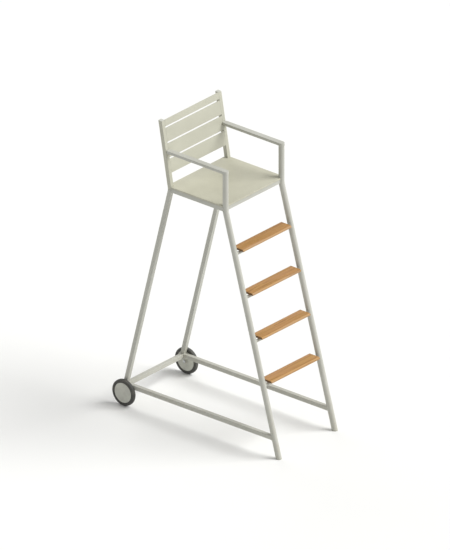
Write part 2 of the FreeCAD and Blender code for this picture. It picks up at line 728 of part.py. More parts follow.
def build_axle(side, word):
    """The lug under the base rail with the bolt, washers and nut that carry the wheel."""
    spot = across("layout.axle_y", "layout.wheel_radius", side=side)
    lug = "axle_lug_" + word
    eye = round_solid(lug + "_eye", spot, "layout.lug_inside", "layout.lug_face",
                      "sizes.lug_width")
    plate = extruded(lug + "_plate",
                     [rectangle("sizes.base_clearance - layout.wheel_radius", "sizes.lug_width")],
                     "layout.lug_inside", "layout.lug_face")
    place(plate, **across("layout.axle_y", "(sizes.base_clearance + layout.wheel_radius) / 2",
                          side=side))
    bore = round_solid(lug + "_bore", spot, "0", "layout.wheel_outside",
                       "sizes.axle_diameter + 2 * sizes.fit_gap")
    keep(lug, cut(lug, fused(lug, [eye, plate]), bore))

    bolt = "axle_bolt_" + word
    head = hexagon(bolt + "_head", side, "layout.lug_inside - sizes.bolt_head", "sizes.bolt_head")
    shank = round_solid(bolt + "_shank", spot, "layout.lug_inside", "layout.nut_end",
                        "sizes.axle_diameter")
    keep(bolt, fused(bolt, [head, shank]))

    nut = "axle_nut_" + word
    blank = hexagon(nut + "_blank", side, "layout.nut_start", "sizes.nut_height")
    keep(nut, cut(nut, blank, bore))

    washers = "axle_washers_" + word
    washer_bore = "sizes.axle_diameter + 2 * sizes.washer_gap"
    inner = round_pipe(washers + "_inner", spot, "layout.lug_face",
                       "layout.lug_face + sizes.washer_thickness", "sizes.washer_diameter",
                       washer_bore)
    outer = round_pipe(washers + "_outer", spot, "layout.nut_start - sizes.washer_thickness",
                       "layout.nut_start", "sizes.washer_diameter", washer_bore)
    keep(washers, grouped(washers, [inner, outer]))


def build_wheel(side, word):
    """The wheel itself, from the tyre inward."""
    spot = across("layout.axle_y", "layout.wheel_radius", side=side)
    tyre = extruded("tyre_" + word, [circle("sizes.wheel_diameter"), circle("sizes.tyre_bore")],
                    "layout.wheel_face", "layout.wheel_outside")
    tyre_radius = value_of("layout.wheel_radius")
    round_edges(tyre, "sizes.tyre_round",
                lambda edge: in_plane(edge) and edge.BoundBox.XMax > tyre_radius - TINY)
    keep("wheel_tyre_" + word, place(tyre, **spot))

    hub_bore = "layout.bush_diameter + 2 * sizes.fit_gap"
    web_start = "layout.wheel_face + sizes.web_inset"
    rim = round_pipe("rim_" + word, spot, "layout.wheel_face + sizes.cover_thickness",
                     "layout.wheel_outside - sizes.cover_thickness", "layout.core_diameter",
                     "layout.core_diameter - 2 * sizes.rim_wall")
    web = round_pipe("web_" + word, spot, web_start, web_start + " + sizes.web_thickness",
                     "layout.core_diameter - sizes.rim_wall", hub_bore)
    hub = round_pipe("hub_" + word, spot, "layout.wheel_face", "layout.hub_end",
                     "sizes.hub_diameter", hub_bore)
    keep("wheel_core_" + word, fused("core_" + word, [rim, web, hub]))

    keep("wheel_bush_" + word,
         round_pipe("bush_" + word, spot, "layout.wheel_face", "layout.hub_end",
                    "layout.bush_diameter", "sizes.axle_diameter + 2 * sizes.running_gap"))
    keep("wheel_cover_inner_" + word,
         round_pipe("cover_inner_" + word, spot, "layout.wheel_face",
                    "layout.wheel_face + sizes.cover_thickness", "layout.core_diameter",
                    "sizes.hub_diameter + 2 * sizes.cover_gap"))
    keep("wheel_cover_outer_" + word,
         round_solid("cover_outer_" + word, spot, "layout.wheel_outside - sizes.cover_thickness",
                     "layout.wheel_outside", "layout.core_diameter"))


# The whole chair

leg_cutters = {word: leg_cutter(side, word) for word, side in SIDES.items()}
for word, side in SIDES.items():
    build_front_leg(side, word)
    build_armrest(side, word)
    build_back_post(side, word)
    build_rear_leg(side, word)
    build_axle(side, word)
    build_wheel(side, word)
build_seat()
build_backrest()
build_base(leg_cutters)
tread_screws = []
for number in TREADS:
    tread_screws.extend(build_tread(number, leg_cutters))
keep("tread_screws", grouped("tread_screws", tread_screws))
doc.recompute()


# Check every object, then write one file for each sub-part

for thing in doc.Objects:
    if "Invalid" in thing.State or "Error" in thing.State:
        raise RuntimeError("%s failed: %s" % (thing.Name, thing.State))
for node, thing in nodes.items():
    if thing.Shape.isNull() or not thing.Shape.isValid() or not thing.Shape.Solids:
        raise RuntimeError("%s has no valid solid" % node)

os.makedirs("parts", exist_ok=True)
for node, thing in nodes.items():
    thing.Shape.exportStep("parts/%s.step" % node)
print("%d sub-parts written" % len(nodes))
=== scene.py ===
import json
import math
from types import SimpleNamespace

import bpy
import numpy as np
from bpy.props import FloatProperty, FloatVectorProperty, PointerProperty
from mathutils import Matrix, Vector


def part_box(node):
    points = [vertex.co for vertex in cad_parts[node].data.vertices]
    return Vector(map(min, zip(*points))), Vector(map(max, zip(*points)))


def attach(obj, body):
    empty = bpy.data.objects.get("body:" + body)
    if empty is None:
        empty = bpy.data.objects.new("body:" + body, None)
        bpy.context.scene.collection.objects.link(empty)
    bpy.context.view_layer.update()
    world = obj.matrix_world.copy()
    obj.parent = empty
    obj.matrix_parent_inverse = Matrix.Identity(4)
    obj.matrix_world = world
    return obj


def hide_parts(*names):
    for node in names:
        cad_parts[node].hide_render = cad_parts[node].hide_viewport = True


# A tennis umpire chair: powder coated steel tube, wooden treads, a boarded seat and two rear wheels.
# Metres, in the frame of the CAD model: +Z is up, the sitter faces -Y, and left is -X.

bl_info = {
    "name": "Umpire Chair",
    "version": (1, 0, 0),
    "blender": (4, 5, 0),
    "location": "View3D > Sidebar > Umpire Chair",
    "description": "Builds the visible surfaces of a tennis umpire chair round its frame",
    "category": "Object",
}

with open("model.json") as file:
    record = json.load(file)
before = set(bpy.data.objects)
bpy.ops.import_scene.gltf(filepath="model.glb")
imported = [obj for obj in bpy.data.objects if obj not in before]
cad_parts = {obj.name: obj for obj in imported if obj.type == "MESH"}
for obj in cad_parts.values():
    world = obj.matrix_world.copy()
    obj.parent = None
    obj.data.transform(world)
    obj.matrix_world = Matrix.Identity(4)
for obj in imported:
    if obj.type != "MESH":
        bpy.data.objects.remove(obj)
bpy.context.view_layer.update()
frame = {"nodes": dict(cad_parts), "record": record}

MM = 0.001
SIDES = {"left": -1, "right": 1}
TREADS = (1, 2, 3, 4)
SLATS = (1, 2, 3, 4)
X_AXIS = np.array((1.0, 0.0, 0.0))
Y_AXIS = np.array((0.0, 1.0, 0.0))
Z_AXIS = np.array((0.0, 0.0, 1.0))

# The picture: a parallel view, its scale and the pixel where the middle of the floor lies
PICTURE_WIDTH = 450
PICTURE_HEIGHT = 550
PIXELS_PER_METRE = 149.3
FLOOR_MIDDLE_PIXEL = (226.84, 415.21)
VIEW_TURN = math.radians(49.76)
VIEW_RISE = math.radians(25.59)

# Fineness of the meshes
ROUND_POINTS = 72
CORNER_POINTS = 7
FLAT_POINTS = 9
RIM_STEPS = 5
SHARP_ANGLE = math.radians(38)
# The angles of the points round a circle
ROUND_TURN = np.linspace(0, 2 * math.pi, ROUND_POINTS, endpoint=False)
# Width of the strip beside a rounded edge, which keeps the shading of the flat next to it even
HEM = 0.3 * MM


def linear(code):
    """The linear colour of an sRGB hex value: its gamma curve undone."""
    values = np.array([int(code[start:start + 2], 16) / 255 for start in (1, 3, 5)])
    bent = np.where(values <= 0.04045, values / 12.92, ((values + 0.055) / 1.055) ** 2.4)
    return tuple(bent) + (1.0,)


def size_of(name, description, default):
    """A length that a user can change."""
    return FloatProperty(name=name, description=description, default=default, unit="LENGTH",
                         precision=4)


def lean_of(name, description, degrees):
    """An angle from upright that a user can change."""
    return FloatProperty(name=name, description=description, default=math.radians(degrees),
                         subtype="ANGLE")


def colour_of(name, description, code):
    """A colour that a user can change."""
    return FloatVectorProperty(name=name, description=description, default=linear(code),
                               subtype="COLOR", size=4, min=0, max=1)


class ChairSizes(bpy.types.PropertyGroup):
    """Sizes that the frame's boxes don't tell"""
    front_lean: lean_of("Front lean", "Front legs, from upright", 15.43)
    rear_lean: lean_of("Rear lean", "Rear legs, from upright", 14.15)
    back_lean: lean_of("Back lean", "Back posts, from upright", 9.87)
    tube_wall: size_of("Tube wall", "Wall of all tubes", 2 * MM)
    tube_corner: size_of("Tube corner", "Corner radius of the square tubes", 2.2 * MM)
    foot_rim: size_of("Foot rim", "Rounding of the foot pads' rims", 1.2 * MM)
    weld_gap: size_of("Weld gap", "Clearance of a shaped tube end", 0.1 * MM)
    cope_start: size_of("Cope start", "Shaped ends start this far behind the round tube's axis", 5 * MM)
    bead: size_of("Weld bead", "Radius of the weld beads", 2.4 * MM)
    mitre_bead: size_of("Mitre bead", "Radius of the dressed beads on mitred joints", 1.7 * MM)
    rung_bead: size_of("Rung bead", "Radius of the beads round the rungs' ends", 1.92 * MM)
    bearer_bead: size_of("Bearer bead", "Radius of the beads between rung and bearer", 2.16 * MM)
    bearer_stitch: size_of("Bearer stitch", "Length of those beads", 40 * MM)
    ripple_pitch: size_of("Weld ripple", "Spacing of the ripples along a bead", 2.4 * MM)
    slat_thickness: size_of("Slat thickness", "Backrest slats", 5 * MM)
    slat_corner: size_of("Slat corner", "Corner radius of the slats, seen from the front", 1 * MM)
    panel_gap: size_of("Panel gap", "Clearance of the seat panel round the posts", 0.3 * MM)
    panel_rim: size_of("Panel rim", "Rounding of the seat panel's rims", 1 * MM)
    panel_corner: size_of("Panel corner", "Corner radius of the seat panel in plan", 4 * MM)
    armrest_rim: size_of("Armrest rim", "Rounding of the armrest bars' rims", 2.6 * MM)
    armrest_cut: size_of("Armrest cut", "What the back post takes off the bar's round end", 3 * MM)
    tread_nose: size_of("Tread nose", "Radius of the treads' upper long edges", 14 * MM)
    tread_rim: size_of("Tread rim", "Rounding of the treads' ends", 1.3 * MM)
    bearer_corner: size_of("Bearer corner", "Corner radius of the bearers in plan", 3 * MM)
    plate_rim: size_of("Plate rim", "Rounding of sheared plate and cap edges", 0.6 * MM)
    lug_width: size_of("Lug width", "Plate that carries the axle", 32 * MM)
    hex_width: size_of("Hex width", "Bolt head across its flats", 19 * MM)
    bolt_head: size_of("Bolt head", "Height of the axle bolt's head", 7 * MM)
    bolt_radius: size_of("Bolt radius", "Shank of the axle bolt", 6 * MM)
    tyre_shoulder: size_of("Tyre shoulder", "Rounding of the tyre", 5.5 * MM)
    tyre_crown: size_of("Tyre crown", "Fall of the running face towards its sides", 0.7 * MM)
    tyre_bevel: size_of("Tyre bevel", "Bevel of the tyre against the covers", 0.9 * MM)
    groove_offset: size_of("Groove offset", "From the covers' edge to the groove's middle", 3 * MM)
    groove_width: size_of("Groove width", "Groove in the tyre's sides", 1.6 * MM)
    groove_depth: size_of("Groove depth", "Groove in the tyre's sides", 0.7 * MM)
    cover_rim: size_of("Cover rim", "Rounding of the wheel covers' rims", 0.8 * MM)
    hub_gap: size_of("Hub gap", "Between the bush and the inner cover's hole", 4.6 * MM)
    screw_head: size_of("Screw head", "Diameter of the screw heads", 9 * MM)
    screw_rise: size_of("Screw rise", "Height of the screw heads", 2.5 * MM)
    screw_socket: size_of("Screw socket", "Hexagon socket across its flats", 3 * MM)
    screw_offset: size_of("Screw offset", "Tread screws, from the middle of their bearer", 21 * MM)


class ChairColours(bpy.types.PropertyGroup):
    """Colours of the chair's finishes"""
    coat: colour_of("Powder coat", "Pale grey-cream film on the steel", "#BEBEB5")
    coat_shade: colour_of("Powder coat, shaded", "The darker clouds of that film", "#B6B6AC")
    back_coat: colour_of("Back coat", "Warmer film on the back posts and slats", "#C0BFAF")
    back_shade: colour_of("Back coat, shaded", "The darker clouds of that film", "#B9B8A8")
    primer: colour_of("Primer", "Shows where the film is chipped, and dulls the zinc", "#85857E")
    dust: colour_of("Court dust", "Dust that settles near the ground", "#A79C84")
    board: colour_of("Seat board", "Face of the seat panel", "#C3C1AE")
    board_shade: colour_of("Seat board, shaded", "The darker clouds of that face", "#B9B7A4")
    wood_light: colour_of("Early wood", "Light, wide part of each year's growth", "#B68A4C")
    wood_dark: colour_of("Late wood", "Dark line that ends each year's growth", "#946732")
    wood_warm: colour_of("Warm streak", "Pinkish streaks in the treads", "#B58656")
    wood_nose: colour_of("Worn nose", "Front edge, rubbed pale by shoes", "#A68A68")
    wood_end: colour_of("End grain", "Sawn ends, which soak up the oil", "#62431F")
    zinc: colour_of("Zinc", "Plated screws, bolts, nuts and washers", "#C9CBCC")
    tyre: colour_of("Tyre", "Solid rubber", "#4B4B48")
    tyre_dust: colour_of("Tyre, dusty", "Rubber greyed by dust", "#605F59")
    foot: colour_of("Foot", "Pale rubber under the legs", "#B9B9AD")
    moulding: colour_of("Moulding", "Plastic of the wheels and caps", "#C9CABF")
    bush: colour_of("Bush", "White bearing plastic", "#E4E3DC")
    floor: colour_of("Floor", "Studio floor", "#F2F2F0")


class ChairStudio(bpy.types.PropertyGroup):
    """Strengths of the studio's lights"""
    key: FloatProperty(name="Key light", description="Strength of the soft key light", default=2.9, min=0)
    fill: FloatProperty(name="Back light", description="Strength of the soft light from behind",
                        default=0.5, min=0)
    sky: FloatProperty(name="Sky", description="Light from all round", default=0.42, min=0)
    backdrop: FloatProperty(name="Backdrop", description="Brightness of what lies past the floor",
                            default=1.0, min=0)


# Places, read from the frame

def sizes_and_places(context):
    """The sizes that a user can change, and the places worked out from the frame."""
    sizes = context.scene.chair_sizes
    return sizes, chair_places(sizes)


def middle(node):
    """The middle of a node's box."""
    low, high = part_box(node)
    return np.array(low + high) / 2


def low(node):
    """The lowest corner of a node's box."""
    return np.array(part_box(node)[0])


def high(node):
    """The highest corner of a node's box."""
    return np.array(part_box(node)[1])


def upright(angle):
    """The direction that leans back from upright by an angle."""
    return np.array((0.0, math.sin(angle), math.cos(angle)))


def chair_places(sizes):
    """Where the chair's lines run, worked out from the boxes of its nodes. The corner is where the
    back post, the rear leg and the side rail meet."""
    at = SimpleNamespace()
    post = middle("armrest_post_right")
    at.round_radius = (high("armrest_post_right") - low("armrest_post_right"))[0] / 2
    at.square_half = (high("seat_rear_rail") - low("seat_rear_rail"))[2] / 2
    at.post_x = post[0]
    at.post_y = post[1]
    at.foot_y = low("foot_right")[1] + at.round_radius / math.cos(sizes.front_lean)
    at.knee_z = (at.post_y - at.foot_y) / math.tan(sizes.front_lean)
    at.pad_top = low("front_leg_right")[2]
    at.armrest_under = low("armrest_right")[2]
    at.rail_x = middle("seat_side_rail_right")[0]
    at.inner_side = at.rail_x - at.square_half
    at.corner_y, at.rail_z = middle("seat_rear_rail")[1:]
    at.front_rail_y = middle("seat_front_rail")[1]
    at.rail_top = low("seat_panel")[2]
    at.seat_top = high("seat_panel")[2]
    at.base_z = middle("base_rail_right")[2]
    at.base_top = at.base_z + at.square_half
    at.base_end = high("base_rail_right")[1]
    at.base_start = at.foot_y + at.base_top * math.tan(sizes.front_lean) + sizes.cope_start
    at.back_top = high("back_post_right")[2]
    at.leg = upright(sizes.front_lean)
    at.back = upright(sizes.back_lean)
    at.rear = upright(-sizes.rear_lean)
    at.axle = middle("wheel_tyre_right")
    return at


def corner_point(at, side):
    """Where the back post, rear leg and side rail meet."""
    return np.array((side * at.rail_x, at.corner_y, at.rail_z))


def knee_point(at, side):
    """Where the front leg turns into the armrest post."""
    return np.array((side * at.post_x, at.post_y, at.knee_z))


def foot_point(at, side):
    """Where the front leg's axis meets the floor."""
    return np.array((side * at.post_x, at.foot_y, 0.0))


# Outlines and stretches of them, all anticlockwise in a plane of their own

def directions(turn):
    """The point at distance one in the direction of each angle: its cosine and its sine."""
    return np.stack((np.cos(turn), np.sin(turn)), axis=1)


def circle(radius):
    """A circle: the radius times the directions of even steps of the turn."""
    return radius * directions(ROUND_TURN)


def half_circle(radius):
    """The lower half of a circle, from its left end to its right."""
    return radius * directions(np.linspace(math.pi, 2 * math.pi, ROUND_POINTS // 2))


def rectangle(left, bottom, right, top):
    """The four corners of a rectangle."""
    return (left, bottom), (right, bottom), (right, top), (left, top)


def rounded(corners, radii):
    """A polygon with each corner replaced by the arc that touches both sides. The arc's middle lies
    on the corner's bisector, and its points turn evenly from the square of one side to the next."""
    corners = np.array(corners, float)
    radii = np.broadcast_to(np.array(radii, float), len(corners))
    before = corners - np.roll(corners, 1, axis=0)
    after = np.roll(corners, -1, axis=0) - corners
    before /= np.linalg.norm(before, axis=1)[:, None]
    after /= np.linalg.norm(after, axis=1)[:, None]
    half_turn = np.arctan2(before[:, 0] * after[:, 1] - before[:, 1] * after[:, 0],
                           (before * after).sum(axis=1)) / 2
    reach = radii * np.abs(np.tan(half_turn))
    start = corners - before * reach[:, None]
    side = np.sign(half_turn)[:, None] * np.stack((-before[:, 1], before[:, 0]), axis=1)
    centre = start + side * radii[:, None]
    step = np.linspace(0, 1, CORNER_POINTS)[None, :] * 2 * half_turn[:, None]
    arm = start - centre
    x = arm[:, :1] * np.cos(step) - arm[:, 1:] * np.sin(step)
    y = arm[:, :1] * np.sin(step) + arm[:, 1:] * np.cos(step)
    return (centre[:, None, :] + np.stack((x, y), axis=2)).reshape(-1, 2)


def box_section(half, radius):
    """A square with rounded corners, and even steps along each flat from one hem to the next, so that
    an end shaped to a round tube can follow it. Comes with a number for each point: 1 in the middle
    of a corner, 0 on the flats."""
    square = half * np.array(rectangle(-1, -1, 1, 1))
    arcs = rounded(square, radius).reshape(4, CORNER_POINTS, 2)
    along = np.roll(square, -1, axis=0) - square
    along /= np.linalg.norm(along, axis=1)[:, None]
    start = arcs[:, -1] + along * HEM
    end = np.roll(arcs[:, 0], -1, axis=0) - along * HEM
    step = np.linspace(0, 1, FLAT_POINTS)[None, :, None]
    flats = start[:, None] + (end - start)[:, None] * step
    bulge = np.sin(np.linspace(0, math.pi, CORNER_POINTS))
    worn = np.tile(np.concatenate((bulge, np.zeros(FLAT_POINTS))), 4)
    return np.concatenate((arcs, flats), axis=1).reshape(-1, 2), worn


def least_corner(rim):
    """The smallest corner radius that a slab's outline may have: a little more than the rim and its
    hem draw in, so that no part of the outline crosses itself."""
    return rim + HEM + 0.1 * MM


# Shapes: points, faces, and how much each point lies on an edge that wears

class Shape:
    """Points and faces of a surface, with the wear of each point. Faces come in blocks, each an array
    with one row of point numbers for each face."""

    def __init__(self, points, faces, worn=None):
        self.points = np.array(points, float).reshape(-1, 3)
        self.faces = faces
        self.worn = np.zeros(len(self.points)) if worn is None else np.array(worn, float)


def joined(shapes):
    """Several shapes as one, their points one after another."""
    starts = np.cumsum([0] + [len(shape.points) for shape in shapes[:-1]])
    faces = [start + block for start, shape in zip(starts, shapes) for block in shape.faces]
    return Shape(np.concatenate([shape.points for shape in shapes]), faces,
                 np.concatenate([shape.worn for shape in shapes]))


def grid(rows, columns, loop=False):
    """Quads between the points of a grid stored row by row. Each row is a ring, and loop joins the
    last row to the first."""
    row, column = np.meshgrid(np.arange(rows if loop else rows - 1), np.arange(columns), indexing="ij")
    next_row = (row + 1) % rows
    next_column = (column + 1) % columns
    quads = np.stack((row * columns + column, row * columns + next_column,
                      next_row * columns + next_column, next_row * columns + column), axis=-1)
    return quads.reshape(-1, 4)


def end_faces(rows, columns):
    """The two faces that close a grid at its first and its last row."""
    first = np.arange(columns)
    return [first[None, ::-1], first[None] + (rows - 1) * columns]


def on_line(outline, origin, u, v):
    """An outline's points, carried to the origin of a line with the directions u and v across it."""
    return origin + outline[:, :1] * u + outline[:, 1:] * v


def across(along):
    """Two directions across a line in the YZ plane, or along X, that make a right-handed set."""
    if abs(along[0]) > 0.5:
        return Y_AXIS, Z_AXIS * along[0]
    return X_AXIS, np.cross(along, X_AXIS)


# Trims: how far along its line each point of a tube's outline runs

def at_plane(point, normal):
    """To a plane: the distance to the plane over the line's own slope against it."""
    def trim(base, along):
        return (point - base) @ normal / (along @ normal)
    return trim


def at_round(point, axis, radius, way, limit):
    """To a round tube: where the distance from the tube's axis equals its radius, a square root, on
    the side that way gives (1 for a start, -1 for an end), and no further than the limit."""
    def trim(base, along):
        base_off = base - point - ((base - point) @ axis)[:, None] * axis
        along_off = along - (along @ axis) * axis
        a = along_off @ along_off
        b = base_off @ along_off
        c = (base_off ** 2).sum(axis=1) - radius ** 2
        reach = (-b + way * np.sqrt(np.maximum(b * b - a * c, 0))) / a
        return np.maximum(reach, limit) if way > 0 else np.minimum(reach, limit)
    return trim


def at_either(*trims):
    """To whichever of several trims lies furthest along."""
    def trim(base, along):
        return np.max([each(base, along) for each in trims], axis=0)
    return trim


def tube(origin, along, outside, inside, start, end, worn=None):
    """A tube: both outlines run along the line from the start trim to the end trim, the outside
    forward and the inside back, and the ends are the rings between them. Also gives the outside's
    two end curves, where the welds lie."""
    u, v = across(along)
    rails = []
    for outline in (outside, inside):
        base = on_line(outline, origin, u, v)
        rails.append([base + trim(base, along)[:, None] * along for trim in (start, end)])
    (outer_start, outer_end), (inner_start, inner_end) = rails
    points = np.concatenate((outer_start, outer_end, inner_end, inner_start))
    bare = np.zeros(len(outside))
    wear = None if worn is None else np.concatenate((worn, worn, bare, bare))
    return Shape(points, [grid(4, len(outside), loop=True)], wear), outer_start, outer_end


def outward(outline):
    """At each point of an outline, the push that moves both of its sides outward by one."""
    side = np.roll(outline, -1, axis=0) - outline
    square = np.stack((side[:, 1], -side[:, 0]), axis=1)
    square /= np.linalg.norm(square, axis=1)[:, None]
    before = np.roll(square, 1, axis=0)
    return (before + square) / (1 + (before * square).sum(axis=1))[:, None]


def slab(outline, origin, u, v, w, start, end, rim):
    """A solid piece: an outline carried from start to end along w. Both rims are quarter circles:
    the outline draws in by the rim's radius times one minus the sine of the turn, while it rises by
    the radius times one minus the cosine. A narrow hem keeps the flats beside them even."""
    turn = np.linspace(0, math.pi / 2, RIM_STEPS)
    inset = rim * (1 - np.sin(turn))
    rise = rim * (1 - np.cos(turn))
    worn = np.sin(2 * turn)
    insets = np.concatenate(([rim + HEM], inset, [0, 0], inset[::-1], [rim + HEM]))
    levels = np.concatenate(([start], start + rise, [start + rim + HEM, end - rim - HEM],
                             end - rise[::-1], [end]))
    wear = np.concatenate(([0], worn, [0, 0], worn[::-1], [0]))
    rings = outline[None] - outward(outline)[None] * insets[:, None, None]
    points = origin + rings[..., :1] * u + rings[..., 1:] * v + levels[:, None, None] * w
    count = len(outline)
    faces = [grid(len(levels), count)] + end_faces(len(levels), count)
    return Shape(points, faces, np.repeat(wear, count))


def turned(centre, along, radii, heights, loop=False):
    """A turned piece: each row is a ring round the axis with its own radius and height, which may
    change round the ring. A looped profile closes on itself. Any other starts and ends with a small
    ring, its eye, and is closed there by a fan round a point on the axis."""
    u, v = across(along)
    rows = len(radii)
    radii = np.stack([np.broadcast_to(radius, ROUND_POINTS) for radius in radii])[..., None]
    heights = np.stack([np.broadcast_to(height, ROUND_POINTS) for height in heights])[..., None]
    points = centre + radii * on_line(circle(1), np.zeros(3), u, v) + heights * along
    points = points.reshape(-1, 3)
    faces = [grid(rows, ROUND_POINTS, loop=loop)]
    if not loop:
        first = np.arange(ROUND_POINTS)
        next_one = np.roll(first, -1)
        last_row = (rows - 1) * ROUND_POINTS
        poles = [centre + heights[row].mean() * along for row in (0, rows - 1)]
        start = np.full(ROUND_POINTS, len(points))
        faces.append(np.stack((next_one, first, start), axis=1))
        faces.append(np.stack((first + last_row, next_one + last_row, start + 1), axis=1))
        points = np.concatenate((points, poles))
    return Shape(points, faces)


def hexagon(width):
    """The radius of a hexagon at each step of the turn: half its width over the cosine of the angle
    from the middle of the nearest flat."""
    flat = math.pi / 3
    return width / 2 / np.cos((ROUND_TURN + flat / 2) % flat - flat / 2)


def bead(path, radius, pitch, direction, closed=True):
    """A weld bead: a round section carried along a path. Its radius swells and sinks by a few
    percent with each ripple and wanders slowly, and an open bead narrows to blunt tips."""
    section_points = 8
    steps_per_ripple = 4
    fewest_steps = 12
    swell = 0.035
    wander = 0.07
    tip = 0.02
    path = np.array(path, float)
    if closed:
        path = np.concatenate((path, path[:1]))
    run = np.concatenate(((0,), np.cumsum(np.linalg.norm(np.diff(path, axis=0), axis=1))))
    count = max(fewest_steps, int(round(run[-1] / pitch)) * steps_per_ripple)
    s = np.linspace(0, run[-1], count, endpoint=not closed)
    line = np.stack([np.interp(s, run, path[:, axis]) for axis in range(3)], axis=1)
    if closed:
        tangent = np.roll(line, -1, axis=0) - np.roll(line, 1, axis=0)
    else:
        tangent = np.gradient(line, axis=0)
    tangent /= np.linalg.norm(tangent, axis=1)[:, None]
    normal = direction - (tangent @ direction)[:, None] * tangent
    normal /= np.linalg.norm(normal, axis=1)[:, None]
    side = np.cross(tangent, normal)
    whole = 2 * math.pi * s / run[-1]
    size = radius * (1 + swell * np.cos(2 * math.pi * s / pitch)
                     + wander * np.sin(3 * whole) * np.sin(5 * whole + 1))
    if not closed:
        size = size * np.sqrt(np.clip(np.minimum(s, run[-1] - s) / radius, tip, 1))
    turn = np.linspace(0, 2 * math.pi, section_points, endpoint=False)
    ring = np.cos(turn)[None, :, None] * normal[:, None] + np.sin(turn)[None, :, None] * side[:, None]
    points = (line[:, None] + size[:, None, None] * ring).reshape(-1, 3)
    faces = [grid(count, section_points, loop=closed)]
    if not closed:
        faces += end_faces(count, section_points)
    return Shape(points, faces)


# Materials

def per(millimetres):
    """The texture scale at which one feature is this many millimetres wide."""
    return 1000 / millimetres


def node(tree, kind, values=None, links=None, **settings):
    """Add a shader node: its settings, the values of its inputs, and the outputs they are linked to."""
    made = tree.nodes.new("ShaderNode" + kind)
    for key, value in settings.items():
        setattr(made, key, value)
    for key, value in (values or {}).items():
        made.inputs[key].default_value = value
    for key, output in (links or {}).items():
        tree.links.new(output, made.inputs[key])
    return made


def new_finish(name):
    """An empty material: its node tree, its shader, and the object's own coordinates."""
    finish = bpy.data.materials.new(name)
    finish.use_nodes = True
    tree = finish.node_tree
    tree.nodes.clear()
    shader = node(tree, "BsdfPrincipled")
    node(tree, "OutputMaterial", links={"Surface": shader.outputs["BSDF"]})
    place = node(tree, "TexCoord").outputs["Object"]
    return finish, tree, shader, place


# Sockets of a Mix node set to colours: its factor, the two colours and its result
FACTOR, COLOUR_A, COLOUR_B, MIXED = 0, 6, 7, 2


def coated_steel(name, coat, shade, colours):
    """Powder coated mild steel, sprayed and baked: a satin, faintly rippled film, nearly even in
    colour. The eye gets a soft highlight, grey nicks along the corners, and court dust near the
    ground."""
    finish, tree, shader, place = new_finish(name)
    cloud = node(tree, "TexNoise", {"Scale": per(260), "Detail": 4}, {"Vector": place})
    cloudy = node(tree, "MapRange", {"From Min": 0.35, "From Max": 0.7}, {"Value": cloud.outputs[0]})
    film = node(tree, "Mix", {COLOUR_A: coat, COLOUR_B: shade},
                {FACTOR: cloudy.outputs[0]}, data_type="RGBA")

    height = node(tree, "SeparateXYZ", links={"Vector": place})
    near_ground = node(tree, "MapRange", {"From Min": 0.42, "From Max": 0.0, "To Max": 0.55},
                       {"Value": height.outputs["Z"]})
    specks = node(tree, "TexNoise", {"Scale": per(28), "Detail": 8, "Roughness": 0.7},
                  {"Vector": place})
    settled = node(tree, "MapRange", {"From Min": 0.42, "From Max": 0.75}, {"Value": specks.outputs[0]})
    dusty = node(tree, "Math", links={0: near_ground.outputs[0], 1: settled.outputs[0]},
                 operation="MULTIPLY")
    dusted = node(tree, "Mix", {COLOUR_B: colours.dust},
                  {FACTOR: dusty.outputs[0], COLOUR_A: film.outputs[MIXED]}, data_type="RGBA")

    corner = node(tree, "Attribute", attribute_name="worn")
    grit = node(tree, "TexNoise", {"Scale": per(17), "Detail": 7, "Roughness": 0.65}, {"Vector": place})
    nicks = node(tree, "MapRange", {"From Min": 0.60, "From Max": 0.66}, {"Value": grit.outputs[0]})
    chipped = node(tree, "Math", links={0: corner.outputs["Fac"], 1: nicks.outputs[0]},
                   operation="MULTIPLY")
    shown = node(tree, "Mix", {COLOUR_B: colours.primer},
                 {FACTOR: chipped.outputs[0], COLOUR_A: dusted.outputs[MIXED]}, data_type="RGBA")

    gloss = node(tree, "MapRange", {"To Min": 0.36, "To Max": 0.52}, {"Value": specks.outputs[0]})
    # The ripple of the baked film is about 1 mm wide, and drawn at 4 mm so that it shows
    ripple = node(tree, "TexNoise", {"Scale": per(4), "Detail": 2}, {"Vector": place})
    relief = node(tree, "Bump", {"Strength": 0.5, "Distance": 0.1 * MM}, {"Height": ripple.outputs[0]})
    shader.inputs["IOR"].default_value = 1.5
    tree.links.new(shown.outputs[MIXED], shader.inputs["Base Color"])
    tree.links.new(gloss.outputs[0], shader.inputs["Roughness"])
    tree.links.new(relief.outputs[0], shader.inputs["Normal"])
    return finish


def frame_coat(colours):
    """The coat of the tubes and bars: pale grey-cream."""
    return coated_steel("powder_coated_steel", colours.coat, colours.coat_shade, colours)


def back_coat(colours):
    """The coat of the back posts and slats: the same film in a warmer tone."""
    return coated_steel("warm_powder_coated_steel", colours.back_coat, colours.back_shade, colours)


